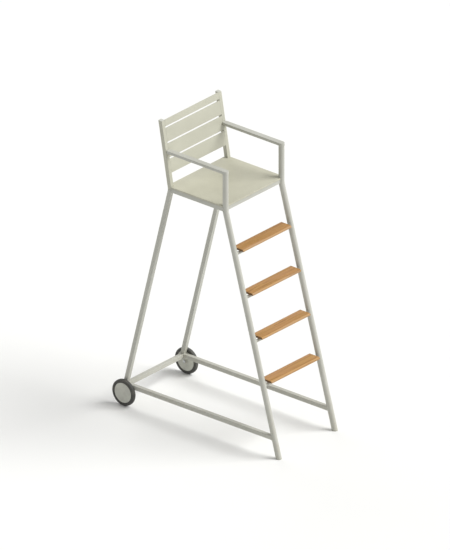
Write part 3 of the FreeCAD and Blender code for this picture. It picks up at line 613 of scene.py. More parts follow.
def coated_board(colours):
    """Compact laminate board, pressed: a warm cream face in faint clouds, satin in some places and
    duller in others, with a fine pebbled grain and scuffs along its rims."""
    finish, tree, shader, place = new_finish("pressed_laminate_board")
    cloud = node(tree, "TexNoise", {"Scale": per(180), "Detail": 5}, {"Vector": place})
    cloudy = node(tree, "MapRange", {"From Min": 0.35, "From Max": 0.72}, {"Value": cloud.outputs[0]})
    face = node(tree, "Mix", {COLOUR_A: colours.board, COLOUR_B: colours.board_shade},
                {FACTOR: cloudy.outputs[0]}, data_type="RGBA")
    rim = node(tree, "Attribute", attribute_name="worn")
    scuffs = node(tree, "TexNoise", {"Scale": per(22), "Detail": 6}, {"Vector": place})
    scuffed = node(tree, "MapRange", {"From Min": 0.5, "From Max": 0.68, "To Max": 0.5},
                   {"Value": scuffs.outputs[0]})
    rubbed = node(tree, "Math", links={0: rim.outputs["Fac"], 1: scuffed.outputs[0]},
                  operation="MULTIPLY")
    shown = node(tree, "Mix", {COLOUR_B: colours.dust},
                 {FACTOR: rubbed.outputs[0], COLOUR_A: face.outputs[MIXED]}, data_type="RGBA")
    gloss = node(tree, "MapRange", {"From Min": 0.3, "From Max": 0.7, "To Min": 0.42, "To Max": 0.6},
                 {"Value": scuffs.outputs[0]})
    # The pebbles are about 1 mm across, and drawn at 3 mm so that they show
    pebble = node(tree, "TexVoronoi", {"Scale": per(3)}, {"Vector": place}, feature="SMOOTH_F1")
    relief = node(tree, "Bump", {"Strength": 0.3, "Distance": 0.12 * MM}, {"Height": pebble.outputs[0]})
    shader.inputs["IOR"].default_value = 1.5
    tree.links.new(shown.outputs[MIXED], shader.inputs["Base Color"])
    tree.links.new(gloss.outputs[0], shader.inputs["Roughness"])
    tree.links.new(relief.outputs[0], shader.inputs["Normal"])
    return finish


def oiled_hardwood(colours):
    """Oiled hardwood, sawn and planed along the grain: year rings 6 mm apart round a heart below the
    board make long flames on the faces and arcs on the ends. The eye gets pinkish streaks on yellow
    brown, fine dark pores, dark end grain, and a front edge rubbed pale."""
    finish, tree, shader, _ = new_finish("oiled_hardwood")
    ring_spacing = 6
    grain = node(tree, "Attribute", attribute_name="grain")
    stretched = node(tree, "Mapping", {"Scale": (0.10, 1, 1)}, {"Vector": grain.outputs["Vector"]})
    # At scale 1 a wave texture's rings are a tenth of pi apart
    rings = node(tree, "TexWave", {"Scale": per(ring_spacing) * math.pi / 10, "Distortion": 5.5,
                                   "Detail": 3, "Detail Scale": 0.7, "Detail Roughness": 0.55},
                 {"Vector": stretched.outputs[0]}, wave_type="RINGS", rings_direction="X",
                 wave_profile="SAW")
    year = node(tree, "MapRange", {"From Min": 0.25, "From Max": 1.0}, {"Value": rings.outputs["Fac"]})
    wood = node(tree, "Mix", {COLOUR_A: colours.wood_light, COLOUR_B: colours.wood_dark},
                {FACTOR: year.outputs[0]}, data_type="RGBA")

    drawn_out = node(tree, "Mapping", {"Scale": (per(300), per(24), per(24))},
                     {"Vector": grain.outputs["Vector"]})
    streak = node(tree, "TexNoise", {"Scale": 1, "Detail": 4}, {"Vector": drawn_out.outputs[0]})
    streaked = node(tree, "MapRange", {"From Min": 0.42, "From Max": 0.64, "To Max": 0.75},
                    {"Value": streak.outputs[0]})
    warm = node(tree, "Mix", {COLOUR_B: colours.wood_warm},
                {FACTOR: streaked.outputs[0], COLOUR_A: wood.outputs[MIXED]}, data_type="RGBA")

    # Pores are 0.3 mm wide, and drawn at 1.6 mm so that they show
    fibres = node(tree, "Mapping", {"Scale": (per(45), per(1.6), per(1.6))},
                  {"Vector": grain.outputs["Vector"]})
    pore = node(tree, "TexNoise", {"Scale": 1, "Detail": 3, "Roughness": 0.6},
                {"Vector": fibres.outputs[0]})
    pores = node(tree, "MapRange", {"From Min": 0.56, "From Max": 0.72, "To Max": 0.45},
                 {"Value": pore.outputs[0]})
    porous = node(tree, "Mix", {COLOUR_B: colours.wood_dark},
                  {FACTOR: pores.outputs[0], COLOUR_A: warm.outputs[MIXED]}, data_type="RGBA")

    nose = node(tree, "Attribute", attribute_name="worn")
    rub = node(tree, "MapRange", {"From Min": 0.3, "From Max": 0.62, "To Max": 0.75},
               {"Value": streak.outputs[0]})
    rubbed = node(tree, "Math", links={0: nose.outputs["Fac"], 1: rub.outputs[0]}, operation="MULTIPLY")
    front = node(tree, "Mix", {COLOUR_B: colours.wood_nose},
                 {FACTOR: rubbed.outputs[0], COLOUR_A: porous.outputs[MIXED]}, data_type="RGBA")

    facing = node(tree, "SeparateXYZ", links={"Vector": node(tree, "TexCoord").outputs["Normal"]})
    sideways = node(tree, "Math", links={0: facing.outputs["X"]}, operation="ABSOLUTE")
    sawn = node(tree, "MapRange", {"From Min": 0.55, "From Max": 0.85, "To Max": 0.8},
                {"Value": sideways.outputs[0]})
    shown = node(tree, "Mix", {COLOUR_B: colours.wood_end},
                 {FACTOR: sawn.outputs[0], COLOUR_A: front.outputs[MIXED]}, data_type="RGBA")

    gloss = node(tree, "MapRange", {"To Min": 0.42, "To Max": 0.62}, {"Value": pore.outputs[0]})
    relief = node(tree, "Bump", {"Strength": 0.4, "Distance": 0.15 * MM}, {"Height": pore.outputs[0]},
                  invert=True)
    shader.inputs["IOR"].default_value = 1.48
    tree.links.new(shown.outputs[MIXED], shader.inputs["Base Color"])
    tree.links.new(gloss.outputs[0], shader.inputs["Roughness"])
    tree.links.new(relief.outputs[0], shader.inputs["Normal"])
    return finish


def zinc_plate(colours):
    """Zinc plated steel, barrel plated: bright grey metal with a cloudy sheen, duller in places."""
    finish, tree, shader, place = new_finish("zinc_plated_steel")
    cloud = node(tree, "TexNoise", {"Scale": per(5), "Detail": 4}, {"Vector": place})
    gloss = node(tree, "MapRange", {"From Min": 0.3, "From Max": 0.7, "To Min": 0.28, "To Max": 0.5},
                 {"Value": cloud.outputs[0]})
    dull = node(tree, "Mix", {COLOUR_A: colours.zinc, COLOUR_B: colours.primer}, data_type="RGBA")
    shade = node(tree, "MapRange", {"From Min": 0.5, "From Max": 0.8, "To Max": 0.5},
                 {"Value": cloud.outputs[0]})
    tree.links.new(shade.outputs[0], dull.inputs[FACTOR])
    shader.inputs["Metallic"].default_value = 1
    tree.links.new(dull.outputs[MIXED], shader.inputs["Base Color"])
    tree.links.new(gloss.outputs[0], shader.inputs["Roughness"])
    return finish


def moulded(name, colour, shade, roughness, grain, relief_depth):
    """A polymer, even in colour with faint clouds, and with a fine grain from the mould or the tool.
    The real grain is under 0.5 mm wide, and drawn as wide as grain says so that it shows."""
    finish, tree, shader, place = new_finish(name)
    cloud = node(tree, "TexNoise", {"Scale": per(60), "Detail": 6, "Roughness": 0.6}, {"Vector": place})
    cloudy = node(tree, "MapRange", {"From Min": 0.45, "From Max": 0.75}, {"Value": cloud.outputs[0]})
    shown = node(tree, "Mix", {COLOUR_A: colour, COLOUR_B: shade}, {FACTOR: cloudy.outputs[0]},
                 data_type="RGBA")
    gloss = node(tree, "MapRange", {"To Min": roughness - 0.08, "To Max": roughness + 0.1},
                 {"Value": cloud.outputs[0]})
    fine = node(tree, "TexNoise", {"Scale": per(grain), "Detail": 3}, {"Vector": place})
    relief = node(tree, "Bump", {"Strength": 0.3, "Distance": relief_depth},
                  {"Height": fine.outputs[0]})
    tree.links.new(shown.outputs[MIXED], shader.inputs["Base Color"])
    tree.links.new(gloss.outputs[0], shader.inputs["Roughness"])
    tree.links.new(relief.outputs[0], shader.inputs["Normal"])
    return finish


def moulded_plastic(colours):
    """Polypropylene, injection moulded: satin, in a pale tone near that of the frame."""
    return moulded("moulded_polypropylene", colours.moulding, colours.coat_shade, 0.5, 2.5, 0.05 * MM)


def bearing_plastic(colours):
    """Acetal, machined: white, with a soft shine."""
    return moulded("machined_acetal", colours.bush, colours.moulding, 0.35, 1.5, 0.02 * MM)


def foot_rubber(colours):
    """Pale rubber, compression moulded: dull, with patches of dust."""
    return moulded("moulded_pale_rubber", colours.foot, colours.dust, 0.75, 2, 0.1 * MM)


def tyre_rubber(colours):
    """Solid rubber, compression moulded: dark grey and dull, greyed in patches by dust."""
    return moulded("moulded_solid_rubber", colours.tyre, colours.tyre_dust, 0.78, 2, 0.15 * MM)


def studio_paper(colours):
    """Paper for a studio floor: plain and matt, with a barely seen mottle."""
    finish, tree, shader, place = new_finish("studio_paper")
    cloud = node(tree, "TexNoise", {"Scale": per(900), "Detail": 3}, {"Vector": place})
    gloss = node(tree, "MapRange", {"To Min": 0.85, "To Max": 0.95}, {"Value": cloud.outputs[0]})
    shader.inputs["Base Color"].default_value = colours.floor
    shader.inputs["Specular IOR Level"].default_value = 0.1
    tree.links.new(gloss.outputs[0], shader.inputs["Roughness"])
    return finish


FINISHES = {
    "frame_paint": frame_coat,
    "board": coated_board,
    "wood": oiled_hardwood,
    "cap_plastic": moulded_plastic,
    "foot_rubber": foot_rubber,
    "steel": zinc_plate,
    "tyre_rubber": tyre_rubber,
    "wheel_plastic": moulded_plastic,
    "bush_plastic": bearing_plastic,
}
made_finishes = {}


def finish_for(maker, colours):
    """The one material that a maker function makes, made on its first use."""
    if maker not in made_finishes:
        made_finishes[maker] = maker(colours)
    return made_finishes[maker]


# Pieces

def mesh_object(name, shape):
    """A Blender object at the origin with a shape's points, faces and wear."""
    mesh = bpy.data.meshes.new(name)
    faces = [face for block in shape.faces for face in block.tolist()]
    mesh.from_pydata(shape.points.tolist(), [], faces)
    mesh.polygons.foreach_set("use_smooth", np.ones(len(mesh.polygons), bool))
    mesh.set_sharp_from_angle(angle=SHARP_ANGLE)
    worn = mesh.attributes.new("worn", "FLOAT", "POINT")
    worn.data.foreach_set("value", shape.worn.astype(np.float32))
    mesh.update()
    made = bpy.data.objects.new(name, mesh)
    bpy.context.scene.collection.objects.link(made)
    return made


def piece(name, shape, slot, nodes=(), body="frame", maker=None):
    """A visible piece: it takes a slot's finish or its own, moves with a body and stands for its
    nodes."""
    made = mesh_object(name, shape)
    finish = finish_for(maker or FINISHES[slot], bpy.context.scene.chair_colours)
    made.data.materials.append(finish)
    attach(made, body)
    if nodes:
        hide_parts(*nodes)
    return made


def welds(name, curves, radius, direction, closed=True):
    """The weld beads of one joint or row of joints, as one piece."""
    pitch = bpy.context.scene.chair_sizes.ripple_pitch
    beads = [bead(curve, radius, pitch, direction, closed) for curve in curves]
    return piece(name, joined(beads), "frame_paint")


def round_tube(origin, along, radius, wall, start, end):
    """A round tube along a line."""
    return tube(origin, along, circle(radius), circle(radius - wall), start, end)


def square_tube(origin, along, at, sizes, start, end):
    """A square tube along a line, its corners liable to wear."""
    inside_corner = 0.5 * MM
    outside, worn = box_section(at.square_half, sizes.tube_corner)
    inside, _ = box_section(at.square_half - sizes.tube_wall, inside_corner)
    return tube(origin, along, outside, inside, start, end, worn)


class FrontLegs(bpy.types.Operator):
    """Front legs with their feet, and the posts that carry the armrests"""
    bl_idname = "umpire_chair.front_legs"
    bl_label = "Front legs and posts"

    def execute(self, context):
        sizes, at = sizes_and_places(context)
        for word, side in SIDES.items():
            foot = foot_point(at, side)
            knee = knee_point(at, side)
            mitre = at_plane(knee, at.leg + Z_AXIS)
            leg, _, leg_end = round_tube(foot, at.leg, at.round_radius, sizes.tube_wall,
                                         at_plane(foot + at.pad_top * Z_AXIS, Z_AXIS), mitre)
            piece("front_leg_tube_" + word, leg, "frame_paint", ["front_leg_" + word])
            top = at_plane(at.armrest_under * Z_AXIS, Z_AXIS)
            post, _, post_end = round_tube(knee, Z_AXIS, at.round_radius, sizes.tube_wall, mitre, top)
            piece("armrest_post_tube_" + word, post, "frame_paint", ["armrest_post_" + word])
            welds("weld_knee_" + word, [leg_end], sizes.mitre_bead, at.leg)
            welds("weld_armrest_post_" + word, [post_end], sizes.bead, Z_AXIS)

            # A level cut through the leaning leg is an ellipse, and the pad keeps the leg's lean
            pad = circle(at.round_radius) / (1, math.cos(sizes.front_lean))
            lean = np.array((0, math.tan(sizes.front_lean), 1))
            shape = slab(pad, foot, X_AXIS, Y_AXIS, lean, 0, at.pad_top, sizes.foot_rim)
            piece("foot_pad_" + word, shape, "foot_rubber", ["foot_" + word])
        return {"FINISHED"}


class Armrests(bpy.types.Operator):
    """Flat armrest bars, rounded at both ends and cut flat against the back posts"""
    bl_idname = "umpire_chair.armrests"
    bl_label = "Armrests"

    def execute(self, context):
        sizes, at = sizes_and_places(context)
        slope = math.tan(sizes.back_lean)
        face = at.corner_y - at.square_half / math.cos(sizes.back_lean) - sizes.weld_gap
        contact_corner = 2 * MM
        for word, side in SIDES.items():
            name = "armrest_" + word
            lowest = low(name)
            highest = high(name)
            half_width = (highest - lowest)[0] / 2
            middle_z = (lowest + highest)[2] / 2
            end_y = face + (middle_z - at.rail_z) * slope
            outline = rounded_bar(half_width, end_y + sizes.armrest_cut - half_width - at.post_y)
            centre = np.array((side * at.post_x, at.post_y, 0))
            shape = slab(outline, centre, X_AXIS, Y_AXIS, Z_AXIS, lowest[2], highest[2],
                         sizes.armrest_rim)
            y_limit = face + (shape.points[:, 2] - at.rail_z) * slope
            shape.points[:, 1] = np.minimum(shape.points[:, 1], y_limit)
            piece("armrest_bar_" + word, shape, "frame_paint", [name])

            # The cut leaves a flat as wide as the chord of the round end at that depth
            half_chord = math.sqrt(half_width ** 2 - (half_width - sizes.armrest_cut) ** 2)
            rise = (highest - lowest)[2] / 2 - sizes.armrest_rim
            contact = rounded(rectangle(-half_chord, -rise, half_chord, rise), contact_corner)
            end_middle = np.array((side * at.post_x, end_y, middle_z))
            welds("weld_armrest_" + word, [on_line(contact, end_middle, X_AXIS, at.back)],
                  sizes.bead, Y_AXIS)
        return {"FINISHED"}


def rounded_bar(half_width, length):
    """A bar with half-round ends, the first round the origin and the other at the length."""
    front = half_circle(half_width)
    return np.concatenate((front, -front + (0, length)))


class BackAndRearLegs(bpy.types.Operator):
    """Back posts with their caps, and the rear legs down to the base"""
    bl_idname = "umpire_chair.back_and_rear_legs"
    bl_label = "Back posts and rear legs"

    def execute(self, context):
        sizes, at = sizes_and_places(context)
        for word, side in SIDES.items():
            corner = corner_point(at, side)
            mitre = at_plane(corner, at.back + at.rear)
            top = at_plane(at.back_top * Z_AXIS, Z_AXIS)
            post, joint, _ = square_tube(corner, at.back, at, sizes, mitre, top)
            piece("back_post_tube_" + word, post, "frame_paint", ["back_post_" + word],
                  maker=back_coat)
            welds("weld_corner_" + word, [joint], sizes.mitre_bead, at.back)

            foot = at_plane(at.base_top * Z_AXIS, Z_AXIS)
            leg, _, leg_foot = square_tube(corner, -at.rear, at, sizes, mitre, foot)
            piece("rear_leg_tube_" + word, leg, "frame_paint", ["rear_leg_" + word])
            welds("weld_rear_leg_" + word, [leg_foot], sizes.bead, Z_AXIS)

            # The cap is the level slice that closes the leaning post
            cap = "back_post_cap_" + word
            slope = math.tan(sizes.back_lean)
            section, _ = box_section(at.square_half, sizes.tube_corner)
            section = section / (1, math.cos(sizes.back_lean))
            start = corner + np.array((0, (at.back_top - at.rail_z) * slope, at.back_top - at.rail_z))
            piece("back_post_cap_plate_" + word,
                  slab(section, start, X_AXIS, Y_AXIS, np.array((0, slope, 1)), 0,
                       high(cap)[2] - at.back_top, sizes.plate_rim), "cap_plastic", [cap])
        return {"FINISHED"}


class Slats(bpy.types.Operator):
    """Backrest slats, welded between the back posts from behind"""
    bl_idname = "umpire_chair.slats"
    bl_label = "Backrest slats"

    def execute(self, context):
        sizes, at = sizes_and_places(context)
        cosine = math.cos(sizes.back_lean)
        sine = math.sin(sizes.back_lean)
        front = np.array((0, -cosine, sine))
        face = at.square_half
        rear_face = face - sizes.slat_thickness
        origin = np.array((0, at.corner_y, at.rail_z))
        bead_stops_short = 4 * MM
        bead_off_faces = 0.4 * MM
        for number in SLATS:
            name = "backrest_slat_%d" % number
            start = (low(name)[2] - at.rail_z - rear_face * sine) / cosine
            end = (high(name)[2] - at.rail_z - face * sine) / cosine
            half = high(name)[0]
            outline = rounded(rectangle(-half, start, half, end), sizes.slat_corner)
            slat = slab(outline, origin, X_AXIS, at.back, front, rear_face, face, sizes.plate_rim)
            piece("backrest_slat_bar_%d" % number, slat, "frame_paint", [name], maker=back_coat)
            # A bead in the corner between the slat's rear face and each post
            ends = np.array((start + bead_stops_short, end - bead_stops_short))
            line = origin + (rear_face - bead_off_faces) * front + ends[:, None] * at.back
            curves = [line + side * (half - bead_off_faces) * X_AXIS for side in SIDES.values()]
            welds("weld_slat_%d" % number, curves, sizes.bead, front, closed=False)
        return {"FINISHED"}


class SeatFrame(bpy.types.Operator):
    """The four square rails under the seat"""
    bl_idname = "umpire_chair.seat_frame"
    bl_label = "Seat rails"

    def execute(self, context):
        sizes, at = sizes_and_places(context)
        cut_radius = at.round_radius + sizes.weld_gap
        face = at.square_half
        for word, side in SIDES.items():
            start = np.array((side * at.rail_x, at.post_y, at.rail_z))
            post_end = at_round(knee_point(at, side), Z_AXIS, cut_radius, 1, sizes.cope_start)
            corner = corner_point(at, side)
            post_front = np.array((0, -math.cos(sizes.back_lean), math.sin(sizes.back_lean)))
            leg_front = np.array((0, -math.cos(sizes.rear_lean), -math.sin(sizes.rear_lean)))
            corner_end = at_either(at_plane(corner + face * post_front, post_front),
                                   at_plane(corner + face * leg_front, leg_front))
            rail, front, rear = square_tube(start, Y_AXIS, at, sizes, post_end, corner_end)
            name = "seat_side_rail_" + word
            piece("seat_side_rail_tube_" + word, rail, "frame_paint", [name])
            welds("weld_side_rail_" + word, [under_seat(front, at), under_seat(rear, at)], sizes.bead,
                  Y_AXIS, closed=False)

        shaped_ends = [at_round(knee_point(at, side), Z_AXIS, cut_radius, -side, side * at.inner_side)
                       for side in (-1, 1)]
        for place, y, ends in (("front", at.front_rail_y, shaped_ends),
                               ("rear", at.corner_y, inner_ends(at))):
            origin = np.array((0, y, at.rail_z))
            rail, first, last = square_tube(origin, X_AXIS, at, sizes, *ends)
            piece("seat_%s_rail_tube" % place, rail, "frame_paint", ["seat_%s_rail" % place])
            welds("weld_%s_rail" % place, [under_seat(first, at), under_seat(last, at)], sizes.bead,
                  X_AXIS, closed=False)
        return {"FINISHED"}


def inner_ends(at):
    """The trims of a tube that runs from one side's inner faces to the other's."""
    return [at_plane(side * at.inner_side * X_AXIS, X_AXIS) for side in (-1, 1)]


def under_seat(curve, at):
    """The stretch of a rail's end curve that is clear of the seat panel, from one top edge down and
    round to the other."""
    clear = 2.4 * MM
    keep = curve[:, 2] < at.rail_top - clear
    start = int(np.flatnonzero(keep & ~np.roll(keep, 1))[0])
    return np.roll(curve, -start, axis=0)[:int(keep.sum())]


class SeatPanel(bpy.types.Operator):
    """The seat board, notched round the four posts"""
    bl_idname = "umpire_chair.seat_panel"
    bl_label = "Seat panel"

    def execute(self, context):
        sizes, at = sizes_and_places(context)
        half = high("seat_panel")[0]
        front = low("seat_panel")[1]
        rear = high("seat_panel")[1]
        radius = at.round_radius + sizes.panel_gap

        # Right half of the outline: round the front post, along the side, and round the back post
        first_turn = math.pi + math.asin((at.post_y - front) / radius)
        last_turn = math.asin((at.front_rail_y - at.post_y) / radius)
        turn = np.linspace(first_turn, last_turn, ROUND_POINTS // 2)
        notch = (at.post_x, at.post_y) + radius * directions(turn)
        slope = math.tan(sizes.back_lean)
        notch_y = (at.corner_y - at.square_half / math.cos(sizes.back_lean)
                   + at.square_half * slope - sizes.panel_gap)
        notch_x = at.inner_side - sizes.panel_gap
        corner = sizes.panel_corner
        # Little board is left beside the post, so its corner is as tight as the rim allows
        ear = least_corner(sizes.panel_rim)
        # The first corner and the last two only close the figure, and are left out of the outline
        left_out = 0.01 * MM
        stretch = rounded(((notch[-1, 0], at.front_rail_y), (half, at.front_rail_y), (half, notch_y),
                           (notch_x, notch_y), (notch_x, rear), (0, rear), (0, at.front_rail_y)),
                          (left_out, ear, corner, corner, corner, left_out, left_out))
        stretch = stretch.reshape(-1, CORNER_POINTS, 2)[1:5].reshape(-1, 2)
        right = np.concatenate((notch, stretch))
        outline = np.concatenate((right, right[::-1] * (-1, 1)))
        panel = slab(outline, np.zeros(3), X_AXIS, Y_AXIS, Z_AXIS, at.rail_top, at.seat_top,
                     sizes.panel_rim)
        piece("seat_board", panel, "board", ["seat_panel"])
        return {"FINISHED"}


class Base(bpy.types.Operator):
    """Base rails with their end caps, and the cross tube between them"""
    bl_idname = "umpire_chair.base"
    bl_label = "Base"

    def execute(self, context):
        sizes, at = sizes_and_places(context)
        for word, side in SIDES.items():
            start = np.array((side * at.rail_x, at.base_start, at.base_z))
            leg = at_round(foot_point(at, side), at.leg, at.round_radius + sizes.weld_gap, 1, 0)
            end = at_plane(at.base_end * Y_AXIS, Y_AXIS)
            rail, front, _ = square_tube(start, Y_AXIS, at, sizes, leg, end)
            piece("base_rail_tube_" + word, rail, "frame_paint", ["base_rail_" + word])
            welds("weld_base_rail_" + word, [front], sizes.bead, Y_AXIS)

            cap = "base_rail_cap_" + word
            section, _ = box_section(at.square_half, sizes.tube_corner)
            end_middle = np.array((side * at.rail_x, at.base_end, at.base_z))
            u, v = across(Y_AXIS)
            piece("base_rail_cap_plate_" + word,
                  slab(section, end_middle, u, v, Y_AXIS, 0, high(cap)[1] - at.base_end,
                       sizes.plate_rim), "cap_plastic", [cap])

        origin = middle("rear_cross_tube")
        tube_shape, first, last = square_tube(origin, X_AXIS, at, sizes, *inner_ends(at))
        piece("rear_cross_tube_bar", tube_shape, "frame_paint", ["rear_cross_tube"])
        welds("weld_cross_tube", [first, last], sizes.bead, X_AXIS)
        return {"FINISHED"}


class Treads(bpy.types.Operator):
    """Wooden treads, each on a flat bar and a round tube between the front legs"""
    bl_idname = "umpire_chair.treads"
    bl_label = "Treads"

    def execute(self, context):
        sizes, at = sizes_and_places(context)
        for number in TREADS:
            self.make_board(number, sizes)
            self.make_support(number, sizes, at)
        return {"FINISHED"}

    def make_board(self, number, sizes):
        """The board: its cross-section with two rounded upper edges, carried along X. Its front edge
        wears. Its grain is measured from the heart of the tree, which lies below the board, and in
        another place for each one."""
        name = "tread_%d" % number
        centre = middle(name)
        length, depth, thickness = high(name) - low(name)
        half_depth = depth / 2
        half_height = thickness / 2
        small = least_corner(sizes.tread_rim)
        section = rounded(rectangle(-half_depth, -half_height, half_depth, half_height),
                          (small, small, sizes.tread_nose, sizes.tread_nose))
        board = slab(section, centre, Y_AXIS, Z_AXIS, X_AXIS, -length / 2, length / 2, sizes.tread_rim)
        unworn = 0.72 * half_depth
        in_front = centre[1] - board.points[:, 1]
        board.worn = np.clip((in_front - unworn) / (half_depth - unworn), 0, 1)
        made = piece("tread_board_%d" % number, board, "wood", [name])

        # The boards are sawn from places 0.9 m apart along the tree, and at several depths
        apart = 900 * MM
        sway = 12 * MM
        drift = 4 * MM
        least_depth = 38 * MM
        depth_step = 7 * MM
        heart = np.array((apart * number, sway * (-1) ** number + drift * number,
                          -least_depth - depth_step * ((number * 3) % 4)))
        grain = made.data.attributes.new("grain", "FLOAT_VECTOR", "POINT")
        grain.data.foreach_set("vector", (board.points - centre - heart).astype(np.float32).ravel())

    def make_support(self, number, sizes, at):
        """The rung, shaped to the legs, and the flat bar that lies on it."""
        rung = "tread_rung_%d" % number
        origin = middle(rung)
        radius = (high(rung) - low(rung))[2] / 2
        cut_radius = at.round_radius + sizes.weld_gap
        ends = [at_round(foot_point(at, side), at.leg, cut_radius, -side, side * at.post_x)
                for side in (-1, 1)]
        shape, first, last = round_tube(origin, X_AXIS, radius, sizes.tube_wall, *ends)
        piece("tread_rung_tube_%d" % number, shape, "frame_paint", [rung])
        welds("weld_rung_%d" % number, [first, last], sizes.rung_bead, X_AXIS)

        bearer = "tread_bearer_%d" % number
        lowest = low(bearer)
        highest = high(bearer)
        outline = rounded(rectangle(*lowest[:2], *highest[:2]), sizes.bearer_corner)
        bar = slab(outline, np.zeros(3), X_AXIS, Y_AXIS, Z_AXIS, lowest[2], highest[2],
                   sizes.plate_rim)
        piece("tread_bearer_bar_%d" % number, bar, "frame_paint", [bearer])

        # Beads lie in the wedge between the round rung and the flat bar, front and rear
        stitch = sizes.bearer_stitch
        wedge_out = 0.42 * radius
        wedge_down = 0.06 * radius
        curves = []
        for x in (lowest[0] + stitch, 0, highest[0] - stitch):
            for way in (-1, 1):
                y = origin[1] + way * wedge_out
                z = lowest[2] - wedge_down
                curves.append(np.array(((x - stitch / 2, y, z), (x + stitch / 2, y, z))))
        welds("weld_bearer_%d" % number, curves, sizes.bearer_bead, Z_AXIS, closed=False)


class Wheels(bpy.types.Operator):
    """Tyres, wheel covers, and the lugs and bolts that carry them"""
    bl_idname = "umpire_chair.wheels"
    bl_label = "Wheels"

    def execute(self, context):
        sizes, at = sizes_and_places(context)
        for word, side in SIDES.items():
            self.make_tyre(word, side, sizes)
            self.make_covers(word, side, sizes)
            self.make_axle(word, side, sizes, at)
        return {"FINISHED"}

    def make_tyre(self, word, side, sizes):
        """The tyre: a closed profile turned round the axle. Its shoulders are quarter circles, its
        running face falls towards them as a parabola, and a fine groove runs round each side."""
        name = "wheel_tyre_" + word
        centre = middle(name)
        radius = (high(name) - low(name))[2] / 2
        half = (high(name) - low(name))[0] / 2
        cover = "wheel_cover_outer_" + word
        clearance = 0.1 * MM
        bore = (high(cover) - low(cover))[2] / 2 + clearance
        bevel = sizes.tyre_bevel
        groove_start = sizes.groove_offset - sizes.groove_width / 2
        groove_end = sizes.groove_offset + sizes.groove_width / 2
        side_radii = bore + np.array((0, bevel, bevel + HEM, groove_start, sizes.groove_offset,
                                      groove_end, groove_end + HEM))
        side_depth = np.array((bevel, 0, 0, 0, sizes.groove_depth, 0, 0))

        shoulder_points = 8
        crown_points = 9
        shoulder = sizes.tyre_shoulder
        turn = np.linspace(0, math.pi / 2, shoulder_points)
        crown = np.linspace(-1, 1, crown_points)[1:-1]
        shoulder_radii = radius - sizes.tyre_crown - shoulder + shoulder * np.sin(turn)
        shoulder_run = half - shoulder + shoulder * np.cos(turn)
        crown_radii = radius - sizes.tyre_crown * crown ** 2
        crown_run = (half - shoulder) * crown
        radii = np.concatenate((side_radii, shoulder_radii, crown_radii, shoulder_radii[::-1],
                                side_radii[::-1]))
        heights = np.concatenate((side_depth - half, -shoulder_run, crown_run, shoulder_run[::-1],
                                  (half - side_depth)[::-1]))
        shape = turned(centre, side * X_AXIS, radii, heights, loop=True)
        piece("tyre_" + word, shape, "tyre_rubber", [name], "wheel_" + word)

    def make_covers(self, word, side, sizes):
        """The covers: flat discs whose rims are quarter circles, the inner one open round the hub.
        Rings on the flats, a little way from their edges, keep the shading even."""
        rim = sizes.cover_rim
        turn = np.linspace(0, math.pi / 2, RIM_STEPS)
        outer = "wheel_cover_outer_" + word
        half = (high(outer) - low(outer))[0] / 2
        radius = (high(outer) - low(outer))[2] / 2
        eye = 2 * MM
        band = radius - 6 * MM
        radii = np.concatenate(((eye, band, radius - HEM, radius, radius),
                                radius - rim * (1 - np.cos(turn)),
                                (radius - rim - HEM, band, eye)))
        heights = np.concatenate(((-half, -half, -half, -half + HEM, half - rim - HEM),
                                  half - rim * (1 - np.sin(turn)),
                                  (half, half, half)))
        piece("wheel_disc_outer_" + word, turned(middle(outer), side * X_AXIS, radii, heights),
              "wheel_plastic", [outer], "wheel_" + word)

        inner = "wheel_cover_inner_" + word
        centre = middle(inner)
        hole = high("wheel_bush_" + word)[2] - centre[2] + sizes.hub_gap
        inner_band = hole + 2 * MM
        outer_band = radius - 4 * MM
        radii = np.concatenate(((hole + HEM, inner_band, outer_band, radius - rim - HEM),
                                radius - rim * (1 - np.sin(turn)),
                                (radius, radius, radius - HEM, hole + HEM, hole, hole)))
        heights = np.concatenate(((-half, -half, -half, -half),
                                  -half + rim * (1 - np.cos(turn)),
                                  (-half + rim + HEM, half - HEM, half, half, half - HEM, -half + HEM)))
        piece("wheel_disc_inner_" + word, turned(centre, side * X_AXIS, radii, heights, loop=True),
              "wheel_plastic", [inner], "wheel_" + word)

    def make_axle(self, word, side, sizes, at):
        """The lug: a plate with a half-round lower end. The bolt: a shank, and a hexagonal head whose
        corners are cut by a cone, which leaves a flat circle just inside the hexagon."""
        lug = "axle_lug_" + word
        centre = middle(lug)
        half = (high(lug) - low(lug))[0] / 2
        axle = np.array((centre[0], at.axle[1], at.axle[2]))
        radius = sizes.lug_width / 2
        top = at.base_z - at.square_half - at.axle[2]
        outline = np.concatenate((half_circle(radius), ((radius, top), (-radius, top))))
        u, v = across(X_AXIS)
        piece("axle_plate_" + word, slab(outline, axle, u, v, X_AXIS, -half, half, sizes.plate_rim),
              "frame_paint", [lug])
        contact_corner = 1 * MM
        bead_below_top = 0.5 * MM
        contact = rounded(rectangle(-half, -radius, half, radius), contact_corner)
        joint = axle + np.array((0, 0, top - bead_below_top))
        welds("weld_lug_" + word, [on_line(contact, joint, X_AXIS, Y_AXIS)], sizes.bead, Z_AXIS)

        bolt = "axle_bolt_" + word
        inward = -side * X_AXIS
        face = axle + inward * half
        reach = max(abs(high(bolt)[0]), abs(low(bolt)[0])) - abs(face[0])
        shank = sizes.bolt_radius
        hexagonal = hexagon(sizes.hex_width)
        flat_circle = 0.95 * sizes.hex_width / 2
        cone = math.radians(30)
        fall = np.maximum(0, hexagonal - flat_circle) * math.tan(cone)
        eye = 1 * MM
        radii = [shank, shank, hexagonal, hexagonal, flat_circle, eye]
        heights = [-reach, 0, 0, sizes.bolt_head - fall, sizes.bolt_head, sizes.bolt_head]
        piece("axle_bolt_body_" + word, turned(face, inward, radii, heights), "steel", [bolt])


